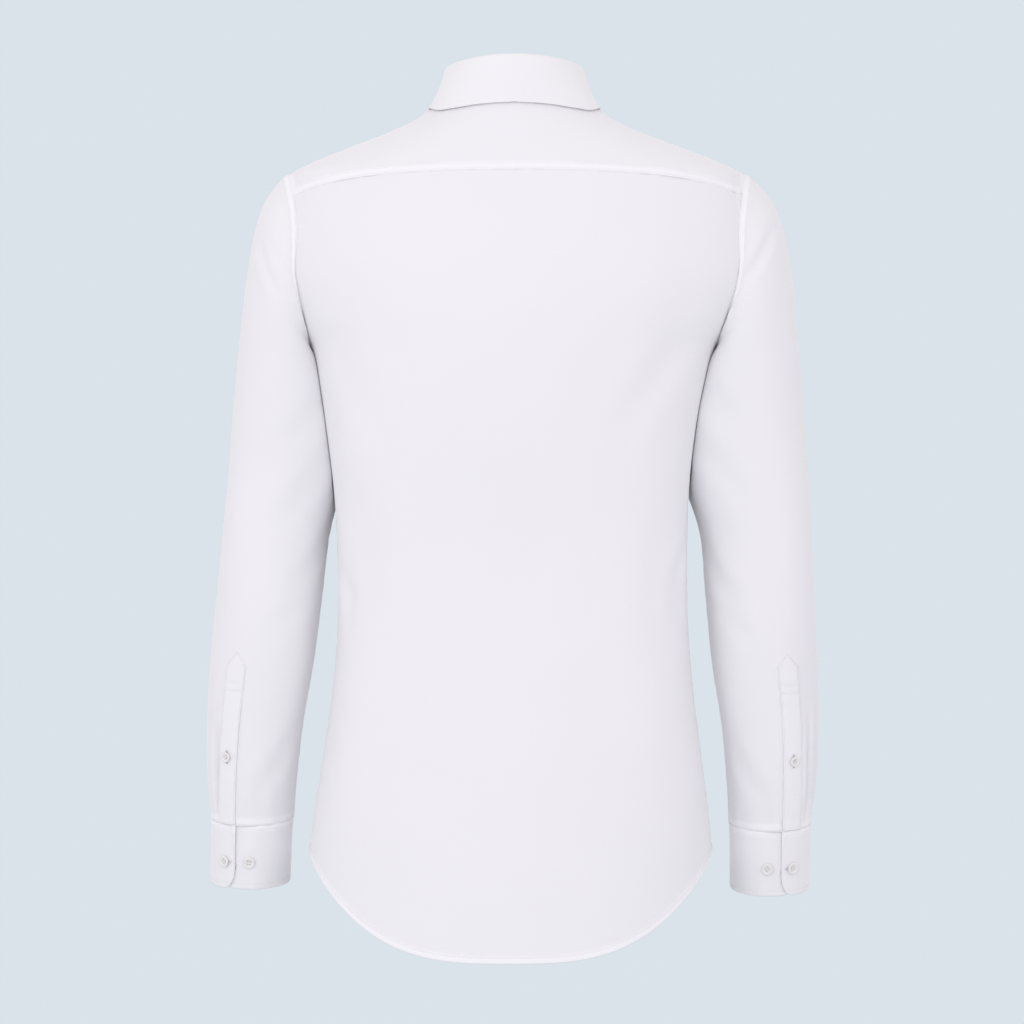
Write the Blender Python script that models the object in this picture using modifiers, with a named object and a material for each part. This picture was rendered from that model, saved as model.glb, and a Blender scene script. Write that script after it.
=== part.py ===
"""Long sleeve dress shirt, buttoned up and filled out as if worn, with nobody inside.

Frame: +Z up, -Y the wearer's front, +X the wearer's left. The origin is the centre of the
neck opening at the height of the back collar seam, where the wearer's neck and shoulders
carry the shirt. Units are metres, and turns and ways are in degrees.

Every cloth piece is a grid of points on one of three surfaces: the torso, a sleeve, or the
collar. A Solidify modifier gives the grid its wall, inwards from the cloth's outer face.
"""

import bpy
import numpy as np
from mathutils import Matrix, Vector

# ---------------------------------------------------------------- driving sizes
CLOTH = 0.0015  # wall of one shirt panel
STIFF = 0.0019  # wall of an interlined piece: collar and cuffs
GAP = 0.0003  # between neighbours at a seam
SEAM_SETBACK = 0.00024  # how far each of two neighbours stands back from their seam line
LAY = 0.0004  # between two layers that lie on each other

NECK_WIDTH = 0.0625  # half width of the neck oval at the collar seam
NECK_DEPTH = 0.0645  # half depth of the same oval
OVERLAP = 0.0175  # each front runs this far past the centre front
FRONT_LINES = (-OVERLAP, -0.006, 0.006, OVERLAP + 0.002)  # upright lines of a front's button strip

ARMHOLE_TOP = 0.0700  # drops below the back collar seam
ARMHOLE_LOW = 0.2260
ARMHOLE_BACK = 27.5  # turn that the armhole cuts out of the back and of the front
ARMHOLE_FRONT = 34.5
YOKE_BACK_DROP = 0.0726  # yoke seam at the centre back
YOKE_BACK_WAY = 44.0  # ways round the armhole where the two yoke seams meet it
YOKE_FRONT_WAY = 54.0
YOKE_FRONT_TURN = 112.0  # place on the neck oval of the front yoke seam
YOKE_BACK_BEND = 2.2  # how late the back yoke seam turns down towards the armholes
YOKE_NECK_SHARE = 0.62  # share of the yoke's neckline that faces its back seam
YOKE_BACK_STEPS = 10  # points that both neighbours of a yoke seam share
YOKE_FRONT_SHARES = 1 - (1 - np.linspace(0, 1, 9)) ** 1.5

HEM_BACK = 0.7795  # drop of the hem at the centre back, the centre front and the side seams
HEM_FRONT = 0.7560
HEM_SIDE = 0.6905
HEM_CURVE = 2.74  # how late the tail curves up

JOIN_RINGS = 2.2  # the sleeve takes this many rings to go from the armhole's curve to a tube
CLEAR_OF_PANEL = 0.0011  # low on the armhole the sleeve stands this much off the panel
CLEAR_OF_SIDE = 0.0014  # a hanging sleeve's inner side rests this far from the body's side
PRESS_ROUND = 0.0012  # how softly it turns where it comes to rest
PRESS_RINGS = (1.2, 2.8)  # rings over which this resting sets in
DRAG_FOLD, CUFF_PLEAT = 0.0022, 0.0030  # depths of the soft folds of a sleeve

CUFF_TALL = 0.0610
CUFF_LAP = 0.0160  # the under end of a cuff runs this far beneath the upper end
CUFF_DIP_START, CUFF_DIP_LONG = 0.0220, 0.0180  # where the under end starts to sink, and over what
CUFF_ROUND_WIDE, CUFF_ROUND_TALL = 0.0125, 0.0190
PLACKET_WIDE, PLACKET_LONG, PLACKET_POINT = 0.0205, 0.1560, 0.0115

BAND_BACK, BAND_FRONT = 0.0302, 0.0232  # height of the collar band
BAND_SLOPE = 8  # how soon the band grows lower, from the back to the front
BAND_ROUND = 0.0100  # radius of its front corners
BAND_FOOT = 0.0011  # its foot over the neckline
BAND_LEAN_SIDE, BAND_LEAN_FRONT = 0.0045, 0.0040  # how far its top draws in
FALL_LIFT = 0.0030  # the fall's outer face over the shirt, at its lower edge
FALL_BELLY, FALL_HOLLOW = 0.0012, 0.0024  # its fullness at the back, and how it draws in at the sides

BUTTON_WIDE, BUTTON_TALL = 0.0114, 0.0026
CUFF_BUTTON_WIDE, SMALL_BUTTON_WIDE = 0.0110, 0.0094
CUFF_BUTTON_IN = 0.0108  # first cuff button, in from the free edge
CUFF_BUTTON_NEXT = 0.0135  # second one, on the other side of that edge
PLACKET_BUTTON_UP = 0.0600  # over the cuff
FRONT_BUTTON_FIRST, FRONT_BUTTON_STEP, FRONT_BUTTONS = 0.1370, 0.0860, 7

WHITE = (0.86, 0.86, 0.88)
PEARL = (0.66, 0.67, 0.68)

# A row for each level of the torso: its drop below the collar seam, half its width, the
# place of its side line, back and front, and its roundness (2 is an ellipse).
TORSO = np.array(
    [
        (-0.0060, 0.0375, 0.0010, 0.0590, 0.0010, 2.00),
        (0.0000, 0.0545, 0.0010, 0.0625, -0.0040, 2.00),
        (0.0040, 0.0635, 0.0008, 0.0645, -0.0085, 2.00),
        (0.0128, 0.0795, 0.0005, 0.0685, -0.0170, 2.02),
        (0.0200, 0.0890, 0.0002, 0.0717, -0.0226, 2.05),
        (0.0340, 0.1185, -0.0005, 0.0774, -0.0346, 2.08),
        (0.0500, 0.1605, -0.0025, 0.0832, -0.0457, 2.10),
        (0.0590, 0.1840, -0.0042, 0.0865, -0.0508, 2.12),
        (0.0700, 0.2065, -0.0065, 0.0900, -0.0570, 2.17),
        (0.0820, 0.2112, -0.0093, 0.0932, -0.0635, 2.22),
        (0.1000, 0.2150, -0.0123, 0.0972, -0.0752, 2.28),
        (0.1300, 0.2192, -0.0155, 0.1025, -0.0965, 2.37),
        (0.1600, 0.2205, -0.0178, 0.1060, -0.1155, 2.40),
        (0.2000, 0.2030, -0.0185, 0.1080, -0.1330, 2.40),
        (0.2260, 0.1870, -0.0185, 0.1070, -0.1395, 2.46),
        (0.2600, 0.1777, -0.0185, 0.1036, -0.1440, 2.58),
        (0.3100, 0.1685, -0.0185, 0.0972, -0.1473, 2.76),
        (0.3600, 0.1625, -0.0185, 0.0908, -0.1485, 2.92),
        (0.4200, 0.1597, -0.0185, 0.0858, -0.1485, 3.02),
        (0.4800, 0.1600, -0.0185, 0.0860, -0.1488, 3.02),
        (0.5400, 0.1645, -0.0185, 0.0898, -0.1500, 2.94),
        (0.6000, 0.1725, -0.0185, 0.0958, -0.1520, 2.78),
        (0.6600, 0.1810, -0.0185, 0.1022, -0.1540, 2.56),
        (0.7200, 0.1862, -0.0185, 0.1075, -0.1555, 2.30),
        (0.7900, 0.1890, -0.0185, 0.1095, -0.1570, 2.30),
    ],
    dtype=[(name, float) for name in ("drop", "half", "side", "back", "front", "round")],
)

# A row for each ring of a sleeve, from the armhole to the cuff: its outer and its inner
# point, the middle of its depth, how far it reaches behind and before that middle, and how
# far ahead of the outer point the inner one hangs.
SLEEVE = np.array(
    [
        (0, 0.2070, 0.0698, 0.1878, 0.2265, -0.0145, 0.0625, 0.0600, 0.0000),
        (1, 0.2218, 0.0765, 0.1881, 0.2280, -0.0145, 0.0640, 0.0615, 0.0000),
        (2, 0.2345, 0.0975, 0.1866, 0.2315, -0.0145, 0.0655, 0.0625, 0.0015),
        (3, 0.2445, 0.1290, 0.1838, 0.2375, -0.0150, 0.0660, 0.0630, 0.0055),
        (4, 0.2515, 0.1720, 0.1750, 0.2490, -0.0165, 0.0655, 0.0630, 0.0100),
        (5, 0.2565, 0.2200, 0.1640, 0.2720, -0.0195, 0.0640, 0.0625, 0.0150),
        (6, 0.2620, 0.2780, 0.1555, 0.3040, -0.0230, 0.0620, 0.0610, 0.0185),
        (7, 0.2665, 0.3380, 0.1545, 0.3440, -0.0268, 0.0595, 0.0590, 0.0200),
        (8, 0.2715, 0.3960, 0.1698, 0.3960, -0.0300, 0.0570, 0.0570, 0.0160),
        (9, 0.2760, 0.4560, 0.1778, 0.4560, -0.0332, 0.0545, 0.0550, 0.0090),
        (10, 0.2803, 0.5160, 0.1855, 0.5160, -0.0368, 0.0515, 0.0525, 0.0030),
        (11, 0.2813, 0.5700, 0.1945, 0.5700, -0.0410, 0.0480, 0.0490, 0.0005),
        (12, 0.2800, 0.6180, 0.1995, 0.6180, -0.0450, 0.0445, 0.0455, 0.0000),
        (13, 0.2783, 0.6605, 0.2026, 0.6605, -0.0503, 0.0405, 0.0410, 0.0000),
        (14, 0.2780, 0.7215, 0.2048, 0.7215, -0.0583, 0.0392, 0.0397, 0.0000),
    ],
    dtype=[
        (name, float)
        for name in ("ring", "out_x", "out_drop", "in_x", "in_drop", "mid", "back", "front", "ahead")
    ],
)
CUFF_TOP_RING, CUFF_LOW_RING = 13.0, 14.0

# How the two arms differ as they hang: a row for each ring, with how much farther out the
# right sleeve's outer side and its inner side stand than the left's, and how much lower its
# rings lie.
ARM_SWAY = np.array(
    [
        (0, 0.0000, 0.0000, 0.0000),
        (2, 0.0012, 0.0000, 0.0000),
        (3, 0.0030, 0.0000, 0.0000),
        (4, 0.0048, 0.0000, 0.0000),
        (5, 0.0090, 0.0000, 0.0000),
        (6, 0.0130, 0.0000, 0.0000),
        (7, 0.0130, 0.0034, 0.0000),
        (8, 0.0095, 0.0050, 0.0000),
        (9, 0.0050, 0.0020, 0.0010),
        (10, 0.0015, 0.0000, 0.0020),
        (11, 0.0005, 0.0000, 0.0030),
        (14, -0.0012, 0.0000, 0.0065),
    ],
    dtype=[(name, float) for name in ("ring", "wider", "inner", "lower")],
)
# How the whole shirt hangs a little off straight: sideways shift at each drop.
HANG = np.array(
    [
        (0.00, 0.0),
        (0.03, 0.0),
        (0.09, -0.0030),
        (0.18, -0.0018),
        (0.24, 0.0016),
        (0.30, 0.0032),
        (0.36, 0.0028),
        (0.42, 0.0018),
        (0.50, 0.0014),
        (0.60, 0.0021),
        (0.70, 0.0036),
        (0.79, 0.0050),
    ],
    dtype=[("drop", float), ("shift", float)],
)
# Way round the cuff of its free edge, and of the sleeve placket's free edge at its top.
CUFF_EDGE = {"left": 71.0, "right": 77.0}
PLACKET_EDGE = {"left": 77.0, "right": 80.0}

# The fall's lower edge: a row for each place round the neck, with how far out it reaches.
FALL_EDGE = np.array(
    [
        (0, 0.0034),
        (15, 0.0046),
        (30, 0.0076),
        (45, 0.0128),
        (58, 0.0174),
        (72, 0.0170),
        (90, 0.0150),
        (108, 0.0186),
        (128, 0.0255),
        (146, 0.0335),
    ],
    dtype=[("turn", float), ("reach", float)],
)
# The fall's roll over the band: how far out and up from the band's top edge each point lies.
FALL_ROLL = np.array(
    [(-0.0019, 0.0015), (-0.0012, 0.0031), (0.0005, 0.0040), (0.0024, 0.0034), (0.0035, 0.0012)],
    dtype=[("out", float), ("up", float)],
)
FALL_FRONT_TURN = 176.0  # the fall's front edge starts here, and its point lies at the table's end


# ---------------------------------------------------------------- reading the tables
def read(table, name, at):
    """Value of one named column anywhere along a table, on a smooth curve through its rows."""
    key = table[table.dtype.names[0]]
    value = table[name]
    slope = np.gradient(value, key)
    at = np.clip(np.asarray(at, float), key[0], key[-1])
    row = np.clip(np.searchsorted(key, at, side="right") - 1, 0, len(key) - 2)
    step = key[row + 1] - key[row]
    t = (at - key[row]) / step
    return (
        (2 * t**3 - 3 * t**2 + 1) * value[row]
        + (t**3 - 2 * t**2 + t) * step * slope[row]
        + (3 * t**2 - 2 * t**3) * value[row + 1]
        + (t**3 - t**2) * step * slope[row + 1]
    )


def ease(t):
    """Smooth step from 0 at t <= 0 to 1 at t >= 1."""
    t = np.clip(t, 0.0, 1.0)
    return t * t * (3 - 2 * t)


def sin(degrees):
    return np.sin(np.radians(degrees))


def cos(degrees):
    return np.cos(np.radians(degrees))


# ---------------------------------------------------------------- the torso
def torso(turn, drop):
    """Outer face of the torso: turn 0 is the centre back, 90 the left side, 180 the front."""
    turn, drop = np.broadcast_arrays(np.asarray(turn, float), np.asarray(drop, float))
    power = 2 / read(TORSO, "round", drop)
    side = read(TORSO, "side", drop)
    depth = np.where(cos(turn) > 0, read(TORSO, "back", drop), read(TORSO, "front", drop)) - side
    x = read(TORSO, "half", drop) * np.sign(sin(turn)) * np.abs(sin(turn)) ** power
    y = side + depth * np.abs(cos(turn)) ** power
    return np.stack([x, y, -drop], axis=-1)


def side_x(y, drop):
    """Half width of the torso at a depth y."""
    power = read(TORSO, "round", drop)
    side = read(TORSO, "side", drop)
    depth = np.where(y > side, read(TORSO, "back", drop), read(TORSO, "front", drop)) - side
    share = np.clip((y - side) / depth, 0, 1)
    return read(TORSO, "half", drop) * (1 - share**power) ** (1 / power)


def square_to(surface, across, along, step):
    """Unit vectors square to a surface(across, along), by the right-hand rule."""
    sideways = surface(across + step[0], along) - surface(across - step[0], along)
    down = surface(across, along + step[1]) - surface(across, along - step[1])
    normal = np.cross(sideways, down)
    return normal / np.linalg.norm(normal, axis=-1, keepdims=True)


def torso_outward(turn, drop):
    return square_to(torso, np.asarray(turn, float), np.asarray(drop, float), (0.5, 0.002))


def torso_over(turn, drop, lift):
    """The torso's face moved out by lift."""
    return torso(turn, drop) + torso_outward(turn, drop) * np.asarray(lift)[..., None]


def under_plan(x, y):
    """Turn and drop of the torso's face under a point of the plan, found by halving."""
    x, y = np.broadcast_arrays(np.asarray(x, float), np.asarray(y, float))
    high = np.full(x.shape, TORSO["drop"][0])
    low = np.full(x.shape, ARMHOLE_LOW)
    for _ in range(40):
        drop = (high + low) / 2
        side, power = read(TORSO, "side", drop), read(TORSO, "round", drop)
        depth = np.where(y > side, read(TORSO, "back", drop), read(TORSO, "front", drop)) - side
        wide = np.abs(x / read(TORSO, "half", drop)) ** power
        deep = np.abs((y - side) / depth) ** power
        outside = wide + deep > 1
        high, low = np.where(outside, drop, high), np.where(outside, low, drop)
    facing = np.where(y > side, 1.0, -1.0)
    turn = np.degrees(np.arctan2(np.sign(x) * np.sqrt(wide), facing * np.sqrt(deep)))
    return turn, drop


def neckline(turn, reach=0.0):
    """Turn and drop of the torso where the upright neck oval, widened by reach, meets it."""
    return under_plan((NECK_WIDTH + reach) * sin(turn), (NECK_DEPTH + reach) * cos(turn))


def armhole(way):
    """Turn and drop round the left armhole: way 0 is the shoulder, 90 the back, 180 the underarm."""
    reach = np.where(sin(way) > 0, ARMHOLE_BACK, ARMHOLE_FRONT)
    half = (ARMHOLE_LOW - ARMHOLE_TOP) / 2
    return 90 - reach * sin(way), ARMHOLE_TOP + half * (1 - cos(way))


def patch(top, bottom, left, right):
    """Grid between four edges, each a pair (turns, drops), by Coons' blending of the edges."""
    u = np.linspace(0, 1, len(top[0]))[:, None]
    v = np.linspace(0, 1, len(left[0]))[None, :]
    grids = []
    for t, b, s, e in zip(top, bottom, left, right):
        corners = (1 - u) * (1 - v) * t[0] + u * (1 - v) * t[-1] + (1 - u) * v * b[0] + u * v * b[-1]
        across = (1 - u) * s[None, :] + u * e[None, :]
        grids.append((1 - v) * t[:, None] + v * b[:, None] + across - corners)
    return grids


def parted(grid, edges):
    """Draws the named edges of a grid back along the cloth, to leave the gap of a seam."""
    grid = grid.copy()
    ends = {"start": (grid[0], grid[1]), "end": (grid[-1], grid[-2])}
    ends.update({"top": (grid[:, 0], grid[:, 1]), "bottom": (grid[:, -1], grid[:, -2])})
    shifts = {}
    for edge in edges:
        rim, inner = ends[edge]
        back = inner - rim
        shifts[edge] = back / np.linalg.norm(back, axis=-1, keepdims=True) * SEAM_SETBACK
    for edge in edges:
        rim, _ = ends[edge]
        rim += shifts[edge]
    return grid


# Ways at which the armhole is divided: the same points end the panels and start the sleeves.
YOKE_WAYS = np.linspace(-YOKE_FRONT_WAY, YOKE_BACK_WAY, 8)
BACK_WAYS = np.linspace(YOKE_BACK_WAY, 180, 10)
FRONT_WAYS = np.linspace(180, 360 - YOKE_FRONT_WAY, 9)
ARMHOLE_WAYS = np.concatenate([YOKE_WAYS[:-1], BACK_WAYS[:-1], FRONT_WAYS[:-1]])


def side_edge(ways, hem, rows):
    """Edge of a panel down the armhole and then down the side seam, on the left."""
    hole_turn, hole_drop = armhole(ways)
    seam = np.linspace(ARMHOLE_LOW, hem, rows + 1)[1:]
    return np.append(hole_turn, np.full(rows, 90.0)), np.append(hole_drop, seam)


def hem_drop(turn, middle):
    """Drop of a tail's hem: lowest in the middle, curving up late towards the side seams."""
    return middle - (middle - HEM_SIDE) * np.abs(sin(turn)) ** HEM_CURVE


def back_grid(rows=14):
    edge = side_edge(BACK_WAYS, HEM_SIDE, rows)
    across = np.linspace(-1, 1, 2 * YOKE_BACK_STEPS + 1)
    corner_turn, corner_drop = edge[0][0], edge[1][0]
    sag = (corner_drop - YOKE_BACK_DROP) * np.abs(across) ** YOKE_BACK_BEND
    top = (across * corner_turn, YOKE_BACK_DROP + sag)
    bottom = (across * 90.0, hem_drop(across * 90.0, HEM_BACK))
    turn, drop = patch(top, bottom, (-edge[0], edge[1]), edge)
    return parted(torso(turn, drop), ("start", "end", "top"))


def front_line(x, drop):
    """Turn of the upright line on the front at this x."""
    half, power = read(TORSO, "half", drop), read(TORSO, "round", drop)
    return 180 - np.sign(x) * np.degrees(np.arcsin((np.abs(x) / half) ** (power / 2)))


def front_seam():
    """The left front yoke seam, from the neck to the armhole."""
    neck_turn, neck_drop = neckline(YOKE_FRONT_TURN)
    hole_turn, hole_drop = armhole(-YOKE_FRONT_WAY)
    t = YOKE_FRONT_SHARES
    return neck_turn + (hole_turn - neck_turn) * t, neck_drop + (hole_drop - neck_drop) * t


def front_grid(under, neck_steps=4, rows=14):
    """The left front, or the same shape set under it near the centre front."""
    edge = side_edge(FRONT_WAYS[::-1], HEM_SIDE, rows)
    down = np.linspace(0, 1, len(edge[0])) ** 1.1
    first = 180 - np.degrees(np.arcsin(FRONT_LINES[-1] / NECK_WIDTH))
    neck_turn, neck_drop = neckline(np.linspace(first, YOKE_FRONT_TURN, neck_steps + 1))
    seam_turn, seam_drop = front_seam()
    top = (np.append(neck_turn, seam_turn[1:]), np.append(neck_drop, seam_drop[1:]))
    turns, drops = [], []
    for x in FRONT_LINES:
        _, from_drop = neckline(180 - np.degrees(np.arcsin(x / NECK_WIDTH)))
        level = from_drop + (hem_drop(front_line(x, HEM_FRONT), HEM_FRONT) - from_drop) * down
        turns.append(front_line(x, level))
        drops.append(level)
    spread = np.linspace(0, 1, len(top[0]))
    low_turn = turns[-1][-1] + (90 - turns[-1][-1]) * spread
    bottom = (low_turn, hem_drop(low_turn, HEM_FRONT))
    turn, drop = patch(top, bottom, (turns[-1], drops[-1]), edge)
    turn = np.concatenate([turns[:-1], turn])
    drop = np.concatenate([drops[:-1], drop])
    points = torso(turn, drop)
    if under:
        sunk = (CLOTH + LAY) * (np.arange(len(turn)) < len(FRONT_LINES))
        points = torso_over(turn, drop, -sunk[:, None] + 0 * drop)
    return parted(points, ("end", "top"))


def yoke_grid():
    """One panel over both shoulders: from the neck oval out to the yoke seams and armholes."""
    seam_turn, seam_drop = armhole(YOKE_BACK_WAY)
    back = np.linspace(0, seam_turn, YOKE_BACK_STEPS + 1)
    back_drop = YOKE_BACK_DROP + (seam_drop - YOKE_BACK_DROP) * (back / seam_turn) ** YOKE_BACK_BEND
    hole_turn, hole_drop = armhole(YOKE_WAYS[::-1])
    outer_turn = np.append(back, hole_turn[1:])
    outer_drop = np.append(back_drop, hole_drop[1:])
    share = np.linspace(0, YOKE_NECK_SHARE, len(back))
    share = np.append(share, np.linspace(YOKE_NECK_SHARE, 1, len(hole_turn))[1:])
    inner_turn, inner_drop = neckline(YOKE_FRONT_TURN * share)
    t = YOKE_FRONT_SHARES[None, :]
    half_turn = inner_turn[:, None] * (1 - t) + outer_turn[:, None] * t
    half_drop = inner_drop[:, None] * (1 - t) + outer_drop[:, None] * t
    turn = np.concatenate([-half_turn[:0:-1], half_turn])
    drop = np.concatenate([half_drop[:0:-1], half_drop])
    return parted(torso(turn, drop), ("start", "end", "bottom"))


# ---------------------------------------------------------------- the sleeves
def sleeve(side, way, ring):
    """Outer face of a sleeve, drawn on the left: way 0 is its outer side, 90 its back."""
    way, ring = np.broadcast_arrays(np.asarray(way, float), np.asarray(ring, float))
    ring = np.clip(ring, SLEEVE["ring"][0], SLEEVE["ring"][-1])
    row = {name: read(SLEEVE, name, ring) for name in SLEEVE.dtype.names}
    half_sway = 0.5 if side == "right" else -0.5
    row["out_x"] = row["out_x"] + half_sway * read(ARM_SWAY, "wider", ring)
    row["in_x"] = row["in_x"] + (0.5 + half_sway) * read(ARM_SWAY, "inner", ring)
    lower = (0.5 + half_sway) * read(ARM_SWAY, "lower", ring)
    middle_drop = (row["out_drop"] + row["in_drop"]) / 2
    lean_step = 0.05
    ahead = read(SLEEVE, "mid", ring + lean_step) - read(SLEEVE, "mid", ring - lean_step)
    fall = sum(
        read(SLEEVE, name, ring + lean_step) - read(SLEEVE, name, ring - lean_step)
        for name in ("out_drop", "in_drop")
    )
    lean = -2 * ahead / fall * ease((ring - 6) / 3)
    reach = np.where(sin(way) > 0, row["back"], row["front"]) * sin(way)
    x = (row["out_x"] + row["in_x"]) / 2 + (row["out_x"] - row["in_x"]) / 2 * cos(way)
    drop = middle_drop + (row["out_drop"] - row["in_drop"]) / 2 * cos(way) + lower + reach * lean
    ahead_in = row["ahead"] * (1 - cos(way)) / 2
    tube = np.stack([x, row["mid"] - ahead_in + reach, -drop], axis=-1)
    start = torso(*armhole(way)) + np.array([2 * GAP, 0, 0])
    join = ease(ring / JOIN_RINGS)[..., None]
    # Low on the armhole the sleeve lies along the panel, so it stands a little clear of it.
    beside = np.exp(-(((np.abs(way - 180) - 40) / 24) ** 2)) * ease(ring / 0.25) * ease((5 - ring) / 3)
    clear = (CLEAR_OF_PANEL * beside)[..., None] * np.array([1.0, 0, 0])
    folds = sleeve_folds(way, ring)[..., None] * np.stack([cos(way), sin(way), 0 * way], axis=-1)
    points = start * (1 - join) + tube * join + clear + folds
    # Below the armhole the inner side lies along the body's side instead of passing into it.
    into = side_x(points[..., 1], -points[..., 2]) + CLEAR_OF_SIDE - points[..., 0]
    pressed = (into + np.hypot(into, 2 * PRESS_ROUND)) / 2
    points[..., 0] += pressed * ease((ring - PRESS_RINGS[0]) / (PRESS_RINGS[1] - PRESS_RINGS[0]))
    return points


def sleeve_folds(way, ring):
    """How far the cloth stands out or sinks in: the drag fold behind the shoulder and the pleat."""
    way = (way + 180) % 360 - 180
    drag_ring = 2.55 - 0.010 * (way - 45)
    drag = np.exp(-(((ring - drag_ring) / 0.5) ** 2)) * np.exp(-(((way - 76) / 34) ** 2))
    pleat = np.exp(-(((way - 19) / 9) ** 2)) - 0.8 * np.exp(-(((way - 2) / 10) ** 2))
    run = ease((ring - 9.6) / 2.2) * (1 - ease((ring - 12.3) / 0.7))
    return -DRAG_FOLD * drag * ease(ring / 1.5) - CUFF_PLEAT * pleat * run


def sleeve_outward(side, way, ring):
    return -square_to(lambda w, r: sleeve(side, w, r), way, ring, (1.0, 0.05))


def sleeve_over(side, way, ring, lift):
    """A sleeve's face moved out by lift."""
    way, ring = np.broadcast_arrays(np.asarray(way, float), np.asarray(ring, float))
    return sleeve(side, way, ring) + sleeve_outward(side, way, ring) * np.asarray(lift)[..., None]


def sleeve_grid(side, end_gap=0.010):
    rings = np.concatenate([[0, 0.25, 0.6], np.linspace(1, 6, 9), np.linspace(7, 13, 11)])
    rings[-1] -= end_gap
    return sleeve(side, ARMHOLE_WAYS[:, None], rings[None, :])


def ring_radius(ring):
    """Mean radius of a sleeve ring, to turn a width on the cloth into a way."""
    wide = (read(SLEEVE, "out_x", ring) - read(SLEEVE, "in_x", ring)) / 2
    return (wide + read(SLEEVE, "back", ring)) / 2


def cuff_size():
    """Mean radius of a cuff, its length once round, and its whole length with the lap."""
    radius = float(ring_radius(CUFF_LOW_RING))
    around = 2 * np.pi * radius
    return radius, around, around + CUFF_LAP


def cuff_lift(along):
    """Height of a cuff's outer face over the sleeve's form: its far end sinks under the near end."""
    _, around, _ = cuff_size()
    return GAP - (STIFF + LAY) * ease((along - around + CUFF_DIP_START) / CUFF_DIP_LONG)


def cuff_grid(side, rows=4):
    """A band once round the wrist, its upper end on the outside, both lower corners rounded."""
    radius, _, long = cuff_size()
    corner = np.array([0, 0.0012, 0.0035, 0.0070, 0.0125, 0.0180])
    middle = np.linspace(0.0180, long - 0.0180, 22)[1:-1]
    along = np.concatenate([corner, middle, (long - corner)[::-1]])
    way = CUFF_EDGE[side] - np.degrees(along / radius)
    from_end = np.minimum(along, long - along)
    rounding = np.clip(1 - from_end / CUFF_ROUND_WIDE, 0, 1)
    short = CUFF_ROUND_TALL * (1 - np.sqrt(1 - rounding**2))
    share = 1 - short[:, None] / CUFF_TALL
    ring = CUFF_TOP_RING + np.linspace(0, 1, rows + 1)[None, :] * share
    return sleeve_over(side, way[:, None], ring, cuff_lift(along)[:, None])


def placket_place(side, across, height):
    """Way and ring of a point of the sleeve placket: its share across, its height over the cuff."""
    ladder = np.linspace(9, CUFF_TOP_RING - 0.012, 60)
    ladder_drop = read(SLEEVE, "out_drop", ladder)
    ring = np.interp(ladder_drop[-1] - height, ladder_drop, ladder)
    shift = (PLACKET_EDGE[side] - CUFF_EDGE[side]) * ease(height / PLACKET_LONG)
    return CUFF_EDGE[side] + shift - np.degrees(PLACKET_WIDE * across / ring_radius(ring)), ring


def placket_grid(side, rows=9):
    """The pointed strip on the sleeve slit, moved out from the sleeve's face."""
    across = np.linspace(0, 1, 5)[:, None]
    peak = PLACKET_LONG - PLACKET_POINT * np.abs(2 * across - 1)
    height = peak * np.linspace(0, 1, rows + 1)[None, :]
    way, ring = placket_place(side, across, height)
    return sleeve_over(side, way, ring, np.full(ring.shape, CLOTH + LAY))


# ---------------------------------------------------------------- the collar
def lap(turn):
    """Radial shift of the collar band's two front ends: the left end lies on the right end."""
    return np.sign(turn) * (STIFF + LAY) / 2 * ease((np.abs(turn) - 150) / 20)


def band_point(turn, height):
    """The band's outer face: upright on the neck oval, drawn in a little towards its top."""
    _, drop = neckline(turn)
    share = height / BAND_BACK
    wide = NECK_WIDTH - BAND_LEAN_SIDE * share + lap(turn)
    deep = NECK_DEPTH - BAND_LEAN_FRONT * share + lap(turn)
    return np.stack([wide * sin(turn), deep * cos(turn), height - drop + BAND_FOOT], axis=-1)


def band_height(turn):
    return BAND_FRONT + (BAND_BACK - BAND_FRONT) * cos(turn / 2) ** BAND_SLOPE


def band_grid(columns=44, rows=3):
    end = 180 + np.degrees(np.arcsin(OVERLAP / NECK_WIDTH))
    turn = np.linspace(-end, end, columns + 1)
    from_end = np.radians(end - np.abs(turn)) * NECK_WIDTH
    rounding = np.clip(1 - from_end / BAND_ROUND, 0, 1)
    tall = band_height(turn) - BAND_ROUND * (1 - np.sqrt(1 - rounding**2))
    height = tall[:, None] * np.linspace(0, 1, rows + 1)[None, :]
    return band_point(turn[:, None] + 0 * height, height)


def fall_grid(columns=40):
    """The fall: over the band's top, then down and out to its lower edge over the shirt."""
    turn = np.linspace(-FALL_FRONT_TURN, FALL_FRONT_TURN, columns + 1)
    # Near the front it rides on the band's outer end, on both sides.
    top = band_point(np.abs(turn), band_height(turn))
    top[:, 0] *= np.sign(turn)
    across = np.stack([NECK_DEPTH * sin(turn), NECK_WIDTH * cos(turn), 0 * turn], axis=-1)
    across /= np.linalg.norm(across, axis=-1, keepdims=True)
    along = np.gradient(top, axis=0)
    up = np.cross(along, across)
    up /= np.linalg.norm(up, axis=-1, keepdims=True)
    leaned = np.abs(turn) / FALL_FRONT_TURN
    edge_turn = turn * (1 - (1 - FALL_EDGE["turn"][-1] / FALL_FRONT_TURN) * leaned**4)
    foot_turn, foot_drop = neckline(edge_turn, read(FALL_EDGE, "reach", np.abs(edge_turn)))
    edge = torso_over(foot_turn, foot_drop, np.full(turn.shape, FALL_LIFT))
    rows = [top + across * point["out"] + up * point["up"] for point in FALL_ROLL]
    start = rows[-1]
    for t in np.linspace(0, 1, 5)[1:]:
        belly = (FALL_BELLY * np.abs(cos(turn)) - FALL_HOLLOW * sin(turn) ** 2) * np.sin(np.pi * t)
        rows.append(start * (1 - t) + edge * t + across * belly[:, None])
    return np.stack(rows, axis=1)


# ---------------------------------------------------------------- building objects
def clear_scene():
    for thing in list(bpy.data.objects):
        bpy.data.objects.remove(thing, do_unlink=True)


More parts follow.
